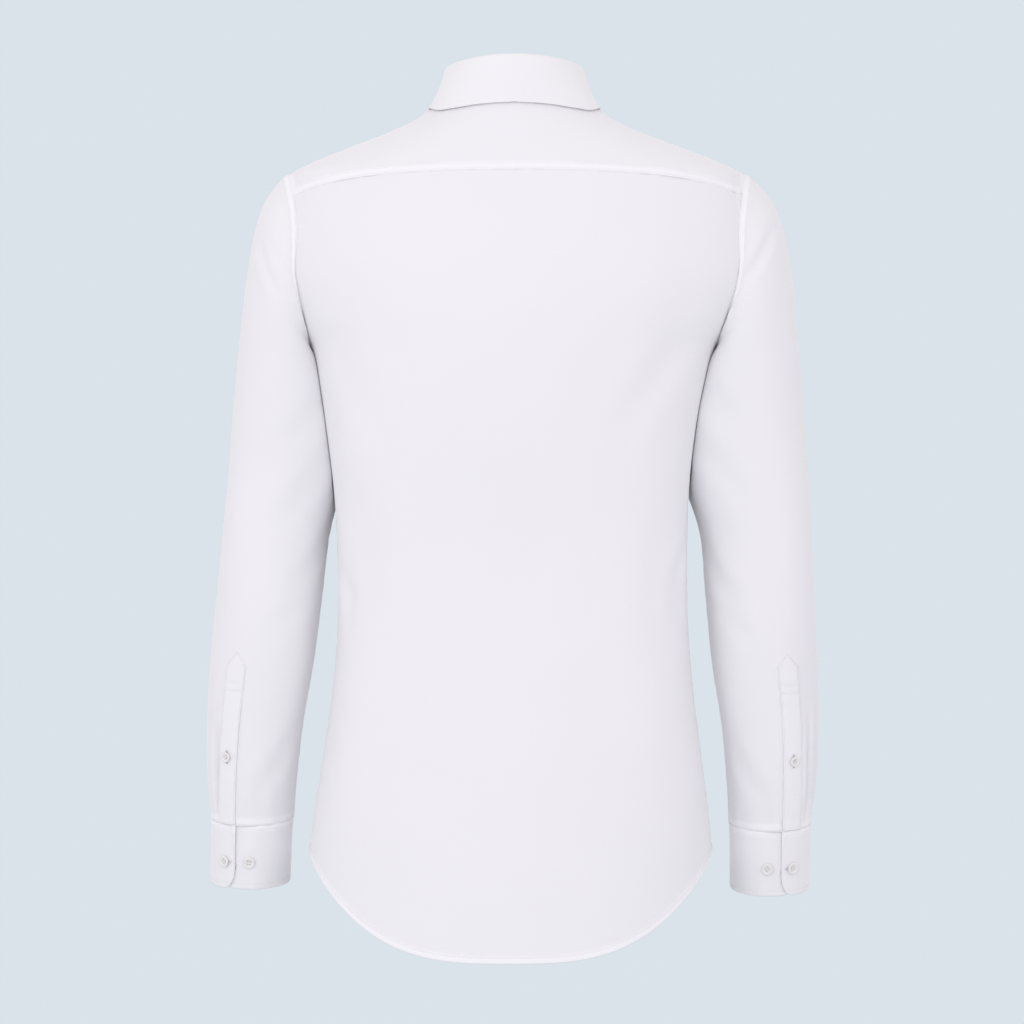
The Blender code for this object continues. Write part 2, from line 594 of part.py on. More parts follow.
def material(name, colour, roughness, coat=0.0):
    new = bpy.data.materials.new(name)
    new.use_nodes = True
    shader = new.node_tree.nodes["Principled BSDF"]
    shader.inputs["Base Color"].default_value = (*colour, 1.0)
    shader.inputs["Roughness"].default_value = roughness
    shader.inputs["Metallic"].default_value = 0.0
    shader.inputs["Coat Weight"].default_value = coat
    return new


def hung(points):
    """Points moved sideways as the whole shirt hangs."""
    points = np.array(points, float)
    points[..., 0] += read(HANG, "shift", -points[..., 2])
    return points


def cloth_piece(name, grid, wall, ring=False, flip=False, mirror=False):
    """A grid of outer points made an object, with its wall grown inwards by Solidify."""
    if mirror:
        grid = grid * np.array([-1.0, 1.0, 1.0])
        flip = not flip
    grid = hung(grid)
    wide, tall = grid.shape[:2]
    spans = wide if ring else wide - 1
    faces = []
    for i in range(spans):
        here, beyond = i * tall, (i + 1) % wide * tall
        for j in range(tall - 1):
            face = (here + j, here + j + 1, beyond + j + 1, beyond + j)
            faces.append(face[::-1] if flip else face)
    mesh = bpy.data.meshes.new(name)
    mesh.from_pydata(grid.reshape(-1, 3).tolist(), [], faces)
    mesh.shade_smooth()
    mesh.materials.append(material(name, WHITE, 0.75))
    piece = bpy.data.objects.new(name, mesh)
    shirt.objects.link(piece)
    shell = piece.modifiers.new("wall", "SOLIDIFY")
    shell.thickness = wall
    shell.offset = -1.0
    return piece


def button(name, wide, seat, facing):
    """A turned button with a rounded rim and a dished face, lying on the cloth at its seat."""
    r, h = wide / 2, BUTTON_TALL
    profile = [
        (0.0, 0.72 * h),
        (0.52 * r, 0.72 * h),
        (0.68 * r, h),
        (0.90 * r, 0.94 * h),
        (r, 0.55 * h),
        (0.80 * r, 0.0),
        (0.0, 0.0),
    ]
    mesh = bpy.data.meshes.new(name)
    points = [(out, 0.0, up) for out, up in profile]
    mesh.from_pydata(points, [(i, i + 1) for i in range(len(points) - 1)], [])
    mesh.materials.append(material(name, PEARL, 0.25, 0.3))
    piece = bpy.data.objects.new(name, mesh)
    shirt.objects.link(piece)
    turn = piece.modifiers.new("turn", "SCREW")
    turn.steps = turn.render_steps = 12
    turn.use_merge_vertices = True
    turn.merge_threshold = 0.00005
    turn.use_smooth_shade = True
    facing = Vector(facing).normalized()
    aim = facing.to_track_quat("Z", "Y").to_matrix().to_4x4()
    piece.matrix_world = Matrix.Translation(Vector(hung(seat)) + facing * LAY) @ aim
    return piece


def torso_button(name, drop):
    """A button on the left front's outer face, on the centre front line."""
    seat, facing = torso(180.0, drop), torso_outward(180.0, drop)
    button(name, BUTTON_WIDE, seat, facing)


def sleeve_button(name, side, way, ring, lift, wide):
    """A button on a sleeve or its cuff, lifted off the sleeve's form."""
    seat, facing = sleeve_over(side, way, ring, lift), sleeve_outward(side, way, ring)
    if side == "right":
        seat, facing = seat * (-1, 1, 1), facing * (-1, 1, 1)
    button(name, wide, seat, facing)


clear_scene()
shirt = bpy.data.collections.new("long_sleeve_dress_shirt")
bpy.context.scene.collection.children.link(shirt)

cloth_piece("back", back_grid(), CLOTH, flip=True)
cloth_piece("yoke", yoke_grid(), CLOTH, flip=True)
cloth_piece("front_left", front_grid(under=False), CLOTH)
cloth_piece("front_right", front_grid(under=True), CLOTH, mirror=True)
cloth_piece("collar_band", band_grid(), STIFF)
cloth_piece("collar_fall", fall_grid(), STIFF, flip=True)
for side in ("left", "right"):
    right = side == "right"
    cloth_piece(f"sleeve_{side}", sleeve_grid(side), CLOTH, ring=True, mirror=right)
    cloth_piece(f"cuff_{side}", cuff_grid(side), STIFF, flip=True, mirror=right)
    cloth_piece(f"placket_{side}", placket_grid(side), CLOTH, mirror=right)

for number in range(FRONT_BUTTONS):
    torso_button(f"front_button_{number + 1}", FRONT_BUTTON_FIRST + FRONT_BUTTON_STEP * number)
collar_seat = band_point(180.0, BAND_FRONT / 2)
button("collar_button", BUTTON_WIDE, collar_seat, (0.0, -BAND_BACK, BAND_LEAN_FRONT))
cuff_radius, cuff_around, _ = cuff_size()
for side in ("left", "right"):
    for number, along in ((1, CUFF_BUTTON_IN), (2, cuff_around - CUFF_BUTTON_NEXT)):
        way = CUFF_EDGE[side] - np.degrees(along / cuff_radius)
        ring = (CUFF_TOP_RING + CUFF_LOW_RING) / 2 + 0.1
        name = f"cuff_button_{side}_{number}"
        sleeve_button(name, side, way, ring, cuff_lift(along), CUFF_BUTTON_WIDE)
    way, ring = placket_place(side, 0.5, PLACKET_BUTTON_UP)
    name = f"placket_button_{side}"
    sleeve_button(name, side, way, ring, CLOTH + LAY, SMALL_BUTTON_WIDE)
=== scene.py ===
"""Long sleeve dress shirt in white cotton poplin, buttoned and filled out as worn, with nobody inside.

Frame: +Z up, -Y the wearer's front, +X the wearer's left, origin in the middle of the neck
opening, level with the collar's back seam. Units are metres; turns round the body and ways
round a sleeve are in degrees. Every piece of cloth is a grid of points on the shirt's form,
raised or sunk by its seams and folds, with a thin wall grown inwards from that face.
"""

from functools import partial

import bpy
import numpy as np
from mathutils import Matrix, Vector


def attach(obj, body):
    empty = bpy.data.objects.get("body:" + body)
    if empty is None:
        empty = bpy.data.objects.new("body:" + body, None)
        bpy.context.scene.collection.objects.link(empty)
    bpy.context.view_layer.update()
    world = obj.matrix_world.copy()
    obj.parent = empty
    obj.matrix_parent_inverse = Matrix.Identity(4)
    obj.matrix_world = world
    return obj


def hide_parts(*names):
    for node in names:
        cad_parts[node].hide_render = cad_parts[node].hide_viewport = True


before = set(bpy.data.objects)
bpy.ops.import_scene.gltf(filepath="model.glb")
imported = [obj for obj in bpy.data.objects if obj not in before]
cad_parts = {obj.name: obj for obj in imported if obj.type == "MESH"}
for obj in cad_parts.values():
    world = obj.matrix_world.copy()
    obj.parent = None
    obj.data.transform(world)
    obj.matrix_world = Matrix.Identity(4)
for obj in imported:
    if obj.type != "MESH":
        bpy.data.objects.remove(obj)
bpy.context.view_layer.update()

# ============================================================ back panel
# One piece of cotton poplin from the yoke seam to the tail, cut on the straight grain. Its top
# edge is sewn under the yoke, its sides are felled over the fronts, and its hem is rolled.
CLOTH = 0.0006
# How far inside a strip's far side its stitching runs, and how deep and wide the dent is.
STITCH_IN, DENT, DENT_WIDE = 0.0012, 0.35, 0.0007
EDGE_ROUND = 0.0009
FELL_WIDE, FELL_HIGH = 0.0062, 0.0007
HEM_WIDE, HEM_HIGH = 0.0066, 0.0009
ARMHOLE_TOP, ARMHOLE_LOW = 0.0700, 0.2260
ARMHOLE_BACK, ARMHOLE_FRONT = 27.5, 34.5
YOKE_BACK_DROP, YOKE_BACK_WAY, YOKE_BACK_BEND = 0.0726, 44.0, 2.2
HEM_BACK, HEM_SIDE, HEM_CURVE = 0.7795, 0.6905, 2.74
STITCH_LONG, STITCH_GAP, STITCH_WIDE, STITCH_HIGH = 0.0024, 0.0006, 0.00042, 0.00030
TUCK_LONG, TUCK_SINK = 0.0025, 0.0003
SEAM_NEAR, SEAM_SOFT = 0.009, 0.0008
WAVE_PERIOD = 0.314159  # of a wave texture at a scale of 1
# Distances from an edge at which the cloth has a row of points, to carry the seam's relief.
SEAM_STEPS = np.array([0, 0.6, 1.4, 2.6, 3.8, 4.7, 5.3, 5.9, 6.5, 7.1, 8.2, 10.0, 12.5, 15.5]) / 1000


def table(columns, *rows):
    """Rows of numbers whose columns have these names."""
    return np.array(list(rows), dtype=[(name, float) for name in columns.split()])


# A row for each level of the body: drop below the collar seam, half width, the place of its side
# line, back and front, and its roundness (2 is an ellipse).
TORSO = table(
    "drop half side back front round",
    (-0.006, 0.0375, 0.001, 0.059, 0.001, 2),
    (0, 0.0545, 0.001, 0.0625, -0.004, 2),
    (0.004, 0.0635, 0.0008, 0.0645, -0.0085, 2),
    (0.0128, 0.0795, 0.0005, 0.0685, -0.017, 2.02),
    (0.02, 0.089, 0.0002, 0.0717, -0.0226, 2.05),
    (0.034, 0.1185, -0.0005, 0.0774, -0.0346, 2.08),
    (0.05, 0.1605, -0.0025, 0.0832, -0.0457, 2.1),
    (0.059, 0.184, -0.0042, 0.0865, -0.0508, 2.12),
    (0.07, 0.2065, -0.0065, 0.09, -0.057, 2.17),
    (0.082, 0.2112, -0.0093, 0.0932, -0.0635, 2.22),
    (0.1, 0.215, -0.0123, 0.0972, -0.0752, 2.28),
    (0.13, 0.2192, -0.0155, 0.1025, -0.0965, 2.37),
    (0.16, 0.2205, -0.0178, 0.106, -0.1155, 2.4),
    (0.2, 0.203, -0.0185, 0.108, -0.133, 2.4),
    (0.226, 0.187, -0.0185, 0.107, -0.1395, 2.46),
    (0.26, 0.1777, -0.0185, 0.1036, -0.144, 2.58),
    (0.31, 0.1685, -0.0185, 0.0972, -0.1473, 2.76),
    (0.36, 0.1625, -0.0185, 0.0908, -0.1485, 2.92),
    (0.42, 0.1597, -0.0185, 0.0858, -0.1485, 3.02),
    (0.48, 0.16, -0.0185, 0.086, -0.1488, 3.02),
    (0.54, 0.1645, -0.0185, 0.0898, -0.15, 2.94),
    (0.6, 0.1725, -0.0185, 0.0958, -0.152, 2.78),
    (0.66, 0.181, -0.0185, 0.1022, -0.154, 2.56),
    (0.72, 0.1862, -0.0185, 0.1075, -0.1555, 2.3),
    (0.79, 0.189, -0.0185, 0.1095, -0.157, 2.3),
)

# How the whole shirt hangs a little off straight: sideways shift at each drop.
HANG = table(
    "drop shift",
    (0, 0), (0.03, 0), (0.09, -0.003), (0.18, -0.0018), (0.24, 0.0016), (0.3, 0.0032),
    (0.36, 0.0028), (0.42, 0.0018), (0.5, 0.0014), (0.6, 0.0021), (0.7, 0.0036), (0.79, 0.005),
)

# Broad soft hollows of the back, each from one place (turn, drop) to another: its depth, half its
# width, and how far it bows sideways.
FOLD = "from_a from_b to_a to_b deep wide bow"
BACK_FOLDS = table(
    FOLD,
    (-42, 0.15, -38, 0.3, 0.0016, 0.022, 0.006),
    (-60, 0.205, -24, 0.335, 0.0013, 0.014, -0.012),
    (60, 0.205, 30, 0.36, 0.0011, 0.016, 0.01),
    (58, 0.33, 52, 0.5, 0.002, 0.02, 0.008),
    (30, 0.42, 40, 0.7, 0.0014, 0.02, -0.008),
    (-14, 0.38, -22, 0.66, 0.0009, 0.026, 0.01),
    (-56, 0.35, -48, 0.56, 0.0016, 0.02, -0.01),
    (6, 0.12, 2, 0.33, 0.0007, 0.03, 0.004),
    (70, 0.4, 62, 0.5, 0.0012, 0.01, 0.004),
    (-70, 0.4, -62, 0.5, 0.0013, 0.01, -0.004),
    (80, 0.42, 58, 0.47, 0.001, 0.009, 0.003),
    (-80, 0.4, -60, 0.445, 0.0009, 0.008, -0.002),
)


def read(table, name, at):
    """Value of one named column anywhere along a table, on a smooth curve through its rows."""
    key = table[table.dtype.names[0]]
    value = table[name]
    slope = np.gradient(value, key)
    at = np.clip(np.asarray(at, float), key[0], key[-1])
    row = np.clip(np.searchsorted(key, at, side="right") - 1, 0, len(key) - 2)
    step = key[row + 1] - key[row]
    t = (at - key[row]) / step
    return (
        (2 * t**3 - 3 * t**2 + 1) * value[row]
        + (t**3 - 2 * t**2 + t) * step * slope[row]
        + (3 * t**2 - 2 * t**3) * value[row + 1]
        + (t**3 - t**2) * step * slope[row + 1]
    )


def ease(t):
    """Smooth step from 0 at t <= 0 to 1 at t >= 1."""
    t = np.clip(t, 0.0, 1.0)
    return t * t * (3 - 2 * t)


def fade(d, start, long):
    """Smooth step down from 1 where d is under start to 0 a length later."""
    return 1 - ease((d - start) / long)


def bell(d, wide):
    """Bell curve: 1 at d = 0, and 1/e at this width to either side."""
    return np.exp(-((d / wide) ** 2))


def sin(degrees):
    """Sine of an angle in degrees."""
    return np.sin(np.radians(degrees))


def cos(degrees):
    """Cosine of an angle in degrees."""
    return np.cos(np.radians(degrees))


def unit(vectors):
    """Vectors of the same directions and of length 1."""
    return vectors / np.linalg.norm(vectors, axis=-1, keepdims=True)


def torso_depth(behind, drop):
    """How far the torso reaches from its side line: to its back, or else to its front."""
    reach = np.where(behind, read(TORSO, "back", drop), read(TORSO, "front", drop))
    return reach - read(TORSO, "side", drop)


def torso(turn, drop):
    """Outer face of the torso: turn 0 is the centre back, 90 the left side, 180 the front."""
    turn, drop = np.broadcast_arrays(turn, drop)
    power = 2 / read(TORSO, "round", drop)
    x = read(TORSO, "half", drop) * np.sign(sin(turn)) * np.abs(sin(turn)) ** power
    y = read(TORSO, "side", drop) + torso_depth(cos(turn) > 0, drop) * np.abs(cos(turn)) ** power
    return np.stack([x, y, -drop], axis=-1)


def square_to(surface, across, along, step):
    """Unit vectors square to a surface(across, along), by the right-hand rule."""
    sideways = surface(across + step[0], along) - surface(across - step[0], along)
    down = surface(across, along + step[1]) - surface(across, along - step[1])
    return unit(np.cross(sideways, down))


def torso_outward(turn, drop):
    """Unit vectors out of the torso's face."""
    return square_to(torso, turn, drop, (0.5, 0.002))


def armhole(way):
    """Turn and drop round the left armhole: way 0 is the shoulder, 90 the back, 180 the underarm."""
    reach = np.where(sin(way) > 0, ARMHOLE_BACK, ARMHOLE_FRONT)
    half = (ARMHOLE_LOW - ARMHOLE_TOP) / 2
    return 90 - reach * sin(way), ARMHOLE_TOP + half * (1 - cos(way))


def hem_drop(turn, middle):
    """Drop of a tail's hem: lowest in the middle, curving up late towards the side seams."""
    return middle - (middle - HEM_SIDE) * np.abs(sin(turn)) ** HEM_CURVE


def run(points, axis):
    """Length along the cloth from a grid's first row or column to each point, summed step by step."""
    step = np.linalg.norm(np.diff(points, axis=axis), axis=-1)
    start = np.zeros_like(np.take(step, [0], axis=axis))
    return np.cumsum(np.concatenate([start, step], axis=axis), axis=axis)


def from_edge(points, *edges):
    """Distance of each point from the nearest of these edges of its grid: start, end, top, bottom."""
    distances = []
    for edge in edges:
        length = run(points, 0 if edge in ("start", "end") else 1)
        far = {"end": length[-1:], "bottom": length[:, -1:]}
        distances.append(far[edge] - length if edge in far else length)
    return np.min(distances, axis=0)


def spaced(cells, long, seams="both"):
    """Shares 0 to 1 of a length of cloth: close together beside a seam, and even between."""
    near = SEAM_STEPS / long
    first = near if seams in ("both", "first") else near[:1]
    last = 1 - near[::-1] if seams in ("both", "last") else 1 - near[:1]
    return np.concatenate([first, np.linspace(first[-1], last[0], cells + 1)[1:-1], last])


def even_line(turn, drop, shares):
    """Turns and drops of a line on the body at the given shares of its length."""
    length = run(torso(turn, drop), 0)
    return tuple(np.interp(shares * length[-1], length, value) for value in (turn, drop))


def side_line(ways, hem, shares):
    """Edge of a panel down the left armhole and then down the side seam."""
    hole_turn, hole_drop = armhole(ways)
    seam = np.linspace(ARMHOLE_LOW, hem, 200)[1:]
    return even_line(np.append(hole_turn, 90 + 0 * seam), np.append(hole_drop, seam), shares)


def patch(top, bottom, left, right, u, v):
    """Grid between four edges, each (turns, drops), by Coons' blending of opposite edges."""
    u, v = u[:, None], v[None, :]
    grids = []
    for t, b, s, e in zip(top, bottom, left, right):
        corners = (1 - u) * (1 - v) * t[0] + u * (1 - v) * t[-1] + (1 - u) * v * b[0] + u * v * b[-1]
        across = (1 - u) * s[None, :] + u * e[None, :]
        grids.append((1 - v) * t[:, None] + v * b[:, None] + across - corners)
    return grids


def yoke_seam(across, shares):
    """Turns and drops of the yoke's back seam, across from the centre: it dips to each armhole."""
    hole_turn, hole_drop = armhole(YOKE_BACK_WAY)
    drop = YOKE_BACK_DROP + (hole_drop - YOKE_BACK_DROP) * np.abs(across) ** YOKE_BACK_BEND
    return even_line(across * hole_turn, drop, shares)


def extended(points, out, edge, reach, sink=0.0):
    """A grid and its normals with one more line past an edge: on along the cloth by reach, and
    down by sink."""
    axis = 0 if edge in ("start", "end") else 1
    first = edge in ("start", "top")
    at, next_in = (0, 1) if first else (-1, -2)
    rim, inner, up = (np.take(g, [k], axis=axis) for g, k in ((points, at), (points, next_in), (out, at)))
    rim = rim + unit(rim - inner) * np.asarray(reach)[..., None, None] - up * sink
    pairs = ((rim, points), (up, out)) if first else ((points, rim), (out, up))
    return (np.concatenate(pair, axis=axis) for pair in pairs)


def felled(d, wide=FELL_WIDE, high=FELL_HIGH):
    """Height of a felled strip at distance d from its edge: a rounded edge, a flat top that the
    stitching dents a little inside the far side, and a soft step down."""
    strip = high * (0.5 + 0.5 * ease(d / EDGE_ROUND)) * fade(d, wide, EDGE_ROUND)
    return strip - DENT * high * bell(d - wide + STITCH_IN, DENT_WIDE)


def pucker(s, d, seed, high=0.00022, reach=0.010):
    """Small uneven waves along a seam: three sines of its length s, swelling and dying slowly,
    and fading with the distance d from it."""
    wave = np.sin(s * 480 + seed) + 0.8 * np.sin(s * 331 + 2.7 * seed) + 0.6 * np.sin(s * 205 + 5.1 * seed)
    swell = 0.55 + 0.45 * np.sin(s * 61 + 1.9 * seed)
    return high * wave * swell * bell(d, reach)


def puckered(points, edge, seed, **how):
    """Puckers along one edge of a grid of points."""
    along = run(points, 1 if edge in ("start", "end") else 0)
    return pucker(along, from_edge(points, edge), seed, **how)


def soft_folds(points, folds, place, outward):
    """Sum of these folds: each is a trough along a bowed line from one place to another, between
    two low shoulders, and it dies away at both ends and through the body."""
    total = np.zeros(points.shape[:-1])
    for fold in folds:
        a, b = (place(fold[p + "_a"], fold[p + "_b"]) for p in ("from", "to"))
        mid = outward((fold["from_a"] + fold["to_a"]) / 2, (fold["from_b"] + fold["to_b"]) / 2)
        line = b - a
        side = unit(np.cross(mid, line))
        share = np.clip((points - a) @ line / (line @ line), 0, 1)
        foot = a + share[..., None] * line + (4 * fold["bow"] * share * (1 - share))[..., None] * side
        off, through = (points - foot) @ side, (points - foot) @ mid
        d = np.abs(off) / fold["wide"]
        shape = 0.5 * bell(d - 1.75, 0.85) - bell(d, 1)
        ends = ease(share / 0.35) * ease((1 - share) / 0.35)
        total += fold["deep"] * shape * ends * bell(through, 0.045)
    return total


def hung(points):
    """Points moved sideways as the whole shirt hangs."""
    points = np.array(points, float)
    points[..., 0] += read(HANG, "shift", -points[..., 2])
    return points


def mirrored(points):
    """Points of the left side moved to the wearer's right."""
    return points * np.array([-1.0, 1.0, 1.0])


def placed(name, data):
    """A new object in the scene that shows a mesh, a lamp or a camera."""
    thing = bpy.data.objects.new(name, data)
    bpy.context.scene.collection.objects.link(thing)
    return thing


def finished(name, points, faces, look, made=""):
    """Puts points and faces in the scene as a smooth piece that rides with the shirt. One with a
    word for how it is made takes the place of the plain form of its name."""
    mesh = bpy.data.meshes.new(name)
    mesh.from_pydata(points.reshape(-1, 3).tolist(), [], faces)
    mesh.shade_smooth()
    mesh.materials.append(look)
    piece = placed(name + made, mesh)
    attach(piece, "root")
    if made:
        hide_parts(name)
    return piece


def grid_cells(index):
    """The four corners of each cell of a grid of point numbers."""
    corners = index[:-1, :-1], index[:-1, 1:], index[1:, 1:], index[1:, :-1]
    return np.stack(corners, axis=-1).reshape(-1, 4)


def cloth(name, points, out, seam, rows, wall=CLOTH, ring=False, look=None, mirror=False):
    """A piece of cloth and its rows of stitches. The grid of outer points is made a shell: faces
    between neighbours turned to face outwards, a UV map in metres along and across the cloth, and
    a wall grown inwards. Mirror makes the wearer's right one."""
    if mirror:
        points, out = mirrored(points), mirrored(out)
    points = hung(points)
    wrapped, out = ((np.concatenate([g, g[:1]]) if ring else g) for g in (points, out))
    wide, tall = wrapped.shape[:2]
    quads = grid_cells(np.arange(wide * tall).reshape(wide, tall))
    a, b, c, d = (wrapped.reshape(-1, 3)[quads[:, k]] for k in range(4))
    outs = out.reshape(-1, 3)[quads[:, 0]]
    if np.einsum("ij,ij->i", np.cross(c - a, d - b), outs).sum() < 0:
        quads = quads[:, ::-1]
    u = run(wrapped, 0) - run(wrapped, 0)[wide // 2]
    uv = np.stack([u, run(wrapped, 1)], axis=-1).reshape(-1, 2)
    corners = quads % (len(points) * tall) if ring else quads
    piece = finished(name, points, corners.tolist(), look or poplin, "_cloth")
    piece.data.uv_layers.new(name="cut").data.foreach_set("uv", uv[quads.reshape(-1)].ravel())
    marks = piece.data.attributes.new("seam", "FLOAT_VECTOR", "POINT")
    marks.data.foreach_set("vector", seam.reshape(-1).astype(np.float32))
    shell = piece.modifiers.new("wall", "SOLIDIFY")
    shell.thickness, shell.offset = wall, -1.0
    return piece, stitching(f"stitching_{name.removeprefix('collar_')}", rows, mirror=mirror)


def seam_field(points, edges, wide):
    """For the stitching's fine puckers and the doubled cloth: length along the nearest of these
    edges, nearness to it, and 1 on a seam's own width of doubled cloth."""
    d = np.stack([from_edge(points, edge) for edge in edges])
    s = np.stack([run(points, 1 if edge in ("start", "end") else 0) for edge in edges])
    nearest = d.argmin(axis=0)[None]
    s, d = np.take_along_axis(s, nearest, 0)[0], np.take_along_axis(d, nearest, 0)[0]
    return np.stack([s, bell(d, SEAM_NEAR), fade(d, wide, SEAM_SOFT)], axis=-1)


def stitched_row(points, out, edge, d, part=slice(None)):
    """The stitches of one row at distance d inside an edge, on all of its points or some."""
    if edge in ("start", "end"):
        points, out = points.swapaxes(0, 1), out.swapaxes(0, 1)
    if edge in ("end", "bottom"):
        points, out = points[:, ::-1], out[:, ::-1]
    length = run(points, 1)
    after = np.clip((length >= d).argmax(axis=1), 1, None)[:, None]
    lo, hi = (np.take_along_axis(length, k, 1) for k in (after - 1, after))
    t = (d - lo) / (hi - lo)
    line = np.arange(len(points))
    before, after = (line, after[:, 0] - 1), (line, after[:, 0])
    return sewn(*(((1 - t) * grid[before] + t * grid[after])[part] for grid in (points, out)))


def sewn(line, normals):
    """Ends and upward directions of the stitches of one row, evenly spaced along a line."""
    length = run(line, 0)
    start = np.arange(0.0003, length[-1] - STITCH_LONG, STITCH_LONG)
    places = ((start, line), (start + STITCH_LONG - STITCH_GAP, line), (start + STITCH_LONG / 2, normals))
    return [np.stack([np.interp(s, length, value[:, k]) for k in range(3)], axis=-1) for s, value in places]


def stitching(name, rows, wide=STITCH_WIDE, high=STITCH_HIGH, mirror=False):
    """All the stitches of a piece: each a small half-round bar, four sections long, whose ends
    dip into the cloth."""
    a, b, up = (np.concatenate([row[k] for row in rows]) for k in range(3))
    if mirror:
        a, b, up = mirrored(b), mirrored(a), mirrored(up)
    a, b, up = (value[:, None, None] for value in (hung(a), hung(b), unit(up)))
    side = unit(np.cross(up, b - a))
    share, lift = np.array([0, 0.2, 0.8, 1.0]), np.array([-0.3, 0.9, 0.9, -0.3])
    across, rounded = np.array([-0.5, -0.26, 0.26, 0.5]), np.array([-0.2, 1.0, 1.0, -0.2])
    raised_by = np.minimum(lift[:, None], rounded)[..., None] * high
    bars = a + (b - a) * share[:, None, None] + side * across[:, None] * wide + up * raised_by
    i = np.arange(16).reshape(4, 4)
    sides = [grid_cells(i)[:, [0, 3, 2, 1]], np.stack([i[:-1, 3], i[1:, 3], i[1:, 0], i[:-1, 0]], -1)]
    faces = np.concatenate([*sides, i[:1], i[3:, ::-1]])
    faces = (faces + 16 * np.arange(len(a))[:, None, None]).reshape(-1, 4)
    return finished(name, bars, faces.tolist(), sewing_thread)


def wired(tree, node, values):
    """A node with its properties and inputs set, by name or number; a given socket is linked."""
    for key, value in values.items():
        if isinstance(key, str) and key in node.bl_rna.properties:
            setattr(node, key, value)
            continue
        socket = node.inputs[key.replace("_", " ") if isinstance(key, str) else key]
        if isinstance(value, bpy.types.NodeSocket):
            tree.links.new(value, socket)
        else:
            socket.default_value = value
    return node


def made_by(tree, kind, result, numbered=None, **values):
    """The named or numbered result of a new shader node with these properties and inputs."""
    node = tree.nodes.new(f"ShaderNode{kind}")
    return wired(tree, node, {**values, **(numbered or {})}).outputs[result]


def tinted(tree, colour, tone):
    """A colour darkened by a tone of 0 to 1."""
    sockets = {0: 1.0, 6: (*colour, 1.0), 7: tone}
    return made_by(tree, "Mix", 2, sockets, data_type="RGBA", blend_type="MULTIPLY")


def new_look(name, **values):
    """A material, its node tree and its main shader, with these constant values."""
    look = bpy.data.materials.new(name)
    look.use_nodes = True
    tree = look.node_tree
    return look, tree, wired(tree, tree.nodes["Principled BSDF"], values)


def fabric(name, colour, weave_deep, crumple, thread=0.00042):
    """Plain-woven cotton: warp and weft ridges crossing along the cut, a slow drift of tone, fine
    puckers across the stitching, and the soft crumple of a pressed cloth."""
    look, tree, shader = new_look(
        name, Roughness=0.78, Specular_IOR_Level=0.22, Sheen_Weight=0.40, Sheen_Roughness=0.45
    )
    cut = made_by(tree, "UVMap", "UV", uv_map="cut")
    per_metre = WAVE_PERIOD / thread
    ridges = [
        made_by(tree, "TexWave", "Fac", bands_direction=axis, Scale=per_metre, Vector=cut) for axis in "XY"
    ]
    weave = made_by(tree, "Math", "Value", {0: ridges[0], 1: ridges[1]}, operation="MULTIPLY")
    place = made_by(tree, "TexCoord", "Object")
    drift = made_by(tree, "TexNoise", "Fac", Scale=9.0, Detail=3.0, Vector=place)
    tone = made_by(tree, "MapRange", "Result", To_Min=0.965, To_Max=1.0, Value=drift)
    seam = made_by(tree, "Attribute", "Vector", attribute_name="seam")
    along, near, layers = made_by(tree, "SeparateXYZ", 0, Vector=seam).node.outputs
    doubled = made_by(tree, "MapRange", "Result", To_Min=0.94, To_Max=1.0, Value=layers)
    shade = made_by(tree, "Math", "Value", {0: tone, 1: doubled}, operation="MULTIPLY")
    soft = made_by(tree, "TexNoise", "Fac", Scale=34.0, Detail=3.0, Roughness=0.55, Vector=place)
    press = made_by(tree, "Bump", "Normal", Strength=crumple, Distance=0.0012, Height=soft)
    gather = made_by(tree, "TexNoise", "Fac", noise_dimensions="1D", Scale=230.0, Detail=1.0, W=along)
    waves = made_by(tree, "Math", "Value", {0: gather, 1: near}, operation="MULTIPLY")
    drawn = made_by(tree, "Bump", "Normal", Strength=0.35, Distance=0.0006, Height=waves, Normal=press)
    fine = {"Strength": weave_deep, "Distance": 0.00006, "Height": weave, "Normal": drawn}
    woven = made_by(tree, "Bump", "Normal", fine)
    wired(tree, shader, {"Base Color": tinted(tree, colour, shade), "Normal": woven})
    return look


def plain_look(name, colour, roughness, coat=0.0, grain=0.0, grain_scale=900.0):
    """A smooth finish whose tone drifts a little, with a fine grain in its surface."""
    look, tree, shader = new_look(name, Roughness=roughness, Coat_Weight=coat)
    place = made_by(tree, "TexCoord", "Object")
    noise = made_by(tree, "TexNoise", "Fac", Scale=grain_scale, Detail=2.0, Vector=place)
    tone = made_by(tree, "MapRange", "Result", To_Min=0.93, To_Max=1.0, Value=noise)
    bump = made_by(tree, "Bump", "Normal", Strength=grain, Distance=0.0001, Height=noise)
    wired(tree, shader, {"Base Color": tinted(tree, colour, tone), "Normal": bump})
    return look


poplin = fabric("poplin", (0.923, 0.914, 0.940), weave_deep=0.20, crumple=0.10)
sewing_thread = plain_look("sewing_thread", (0.86, 0.86, 0.88), 0.55, grain=0.3, grain_scale=4000.0)

u, v = spaced(96, 0.42), spaced(150, 0.70)
across = np.linspace(-1, 1, 401)
top = yoke_seam(across, u)
bottom = even_line(across * 90.0, hem_drop(across * 90.0, HEM_BACK), u)
side = side_line(np.linspace(YOKE_BACK_WAY, 180, 200), HEM_SIDE, v)
turn, drop = patch(top, bottom, (-side[0], side[1]), side, u, v)
face, out = torso(turn, drop), torso_outward(turn, drop)
below_arm = ease((drop - ARMHOLE_LOW) / 0.006)
relief = soft_folds(face, BACK_FOLDS, torso, torso_outward)
relief += felled(from_edge(face, "bottom"), HEM_WIDE, HEM_HIGH)
for edge, seed in (("start", 1.3), ("end", 2.6)):
    relief += felled(from_edge(face, edge)) * below_arm
    relief += (0.4 + 0.6 * below_arm) * puckered(face, edge, seed)
relief += puckered(face, "bottom", 4.2) + puckered(face, "top", 0.4)
face = face + relief[..., None] * out
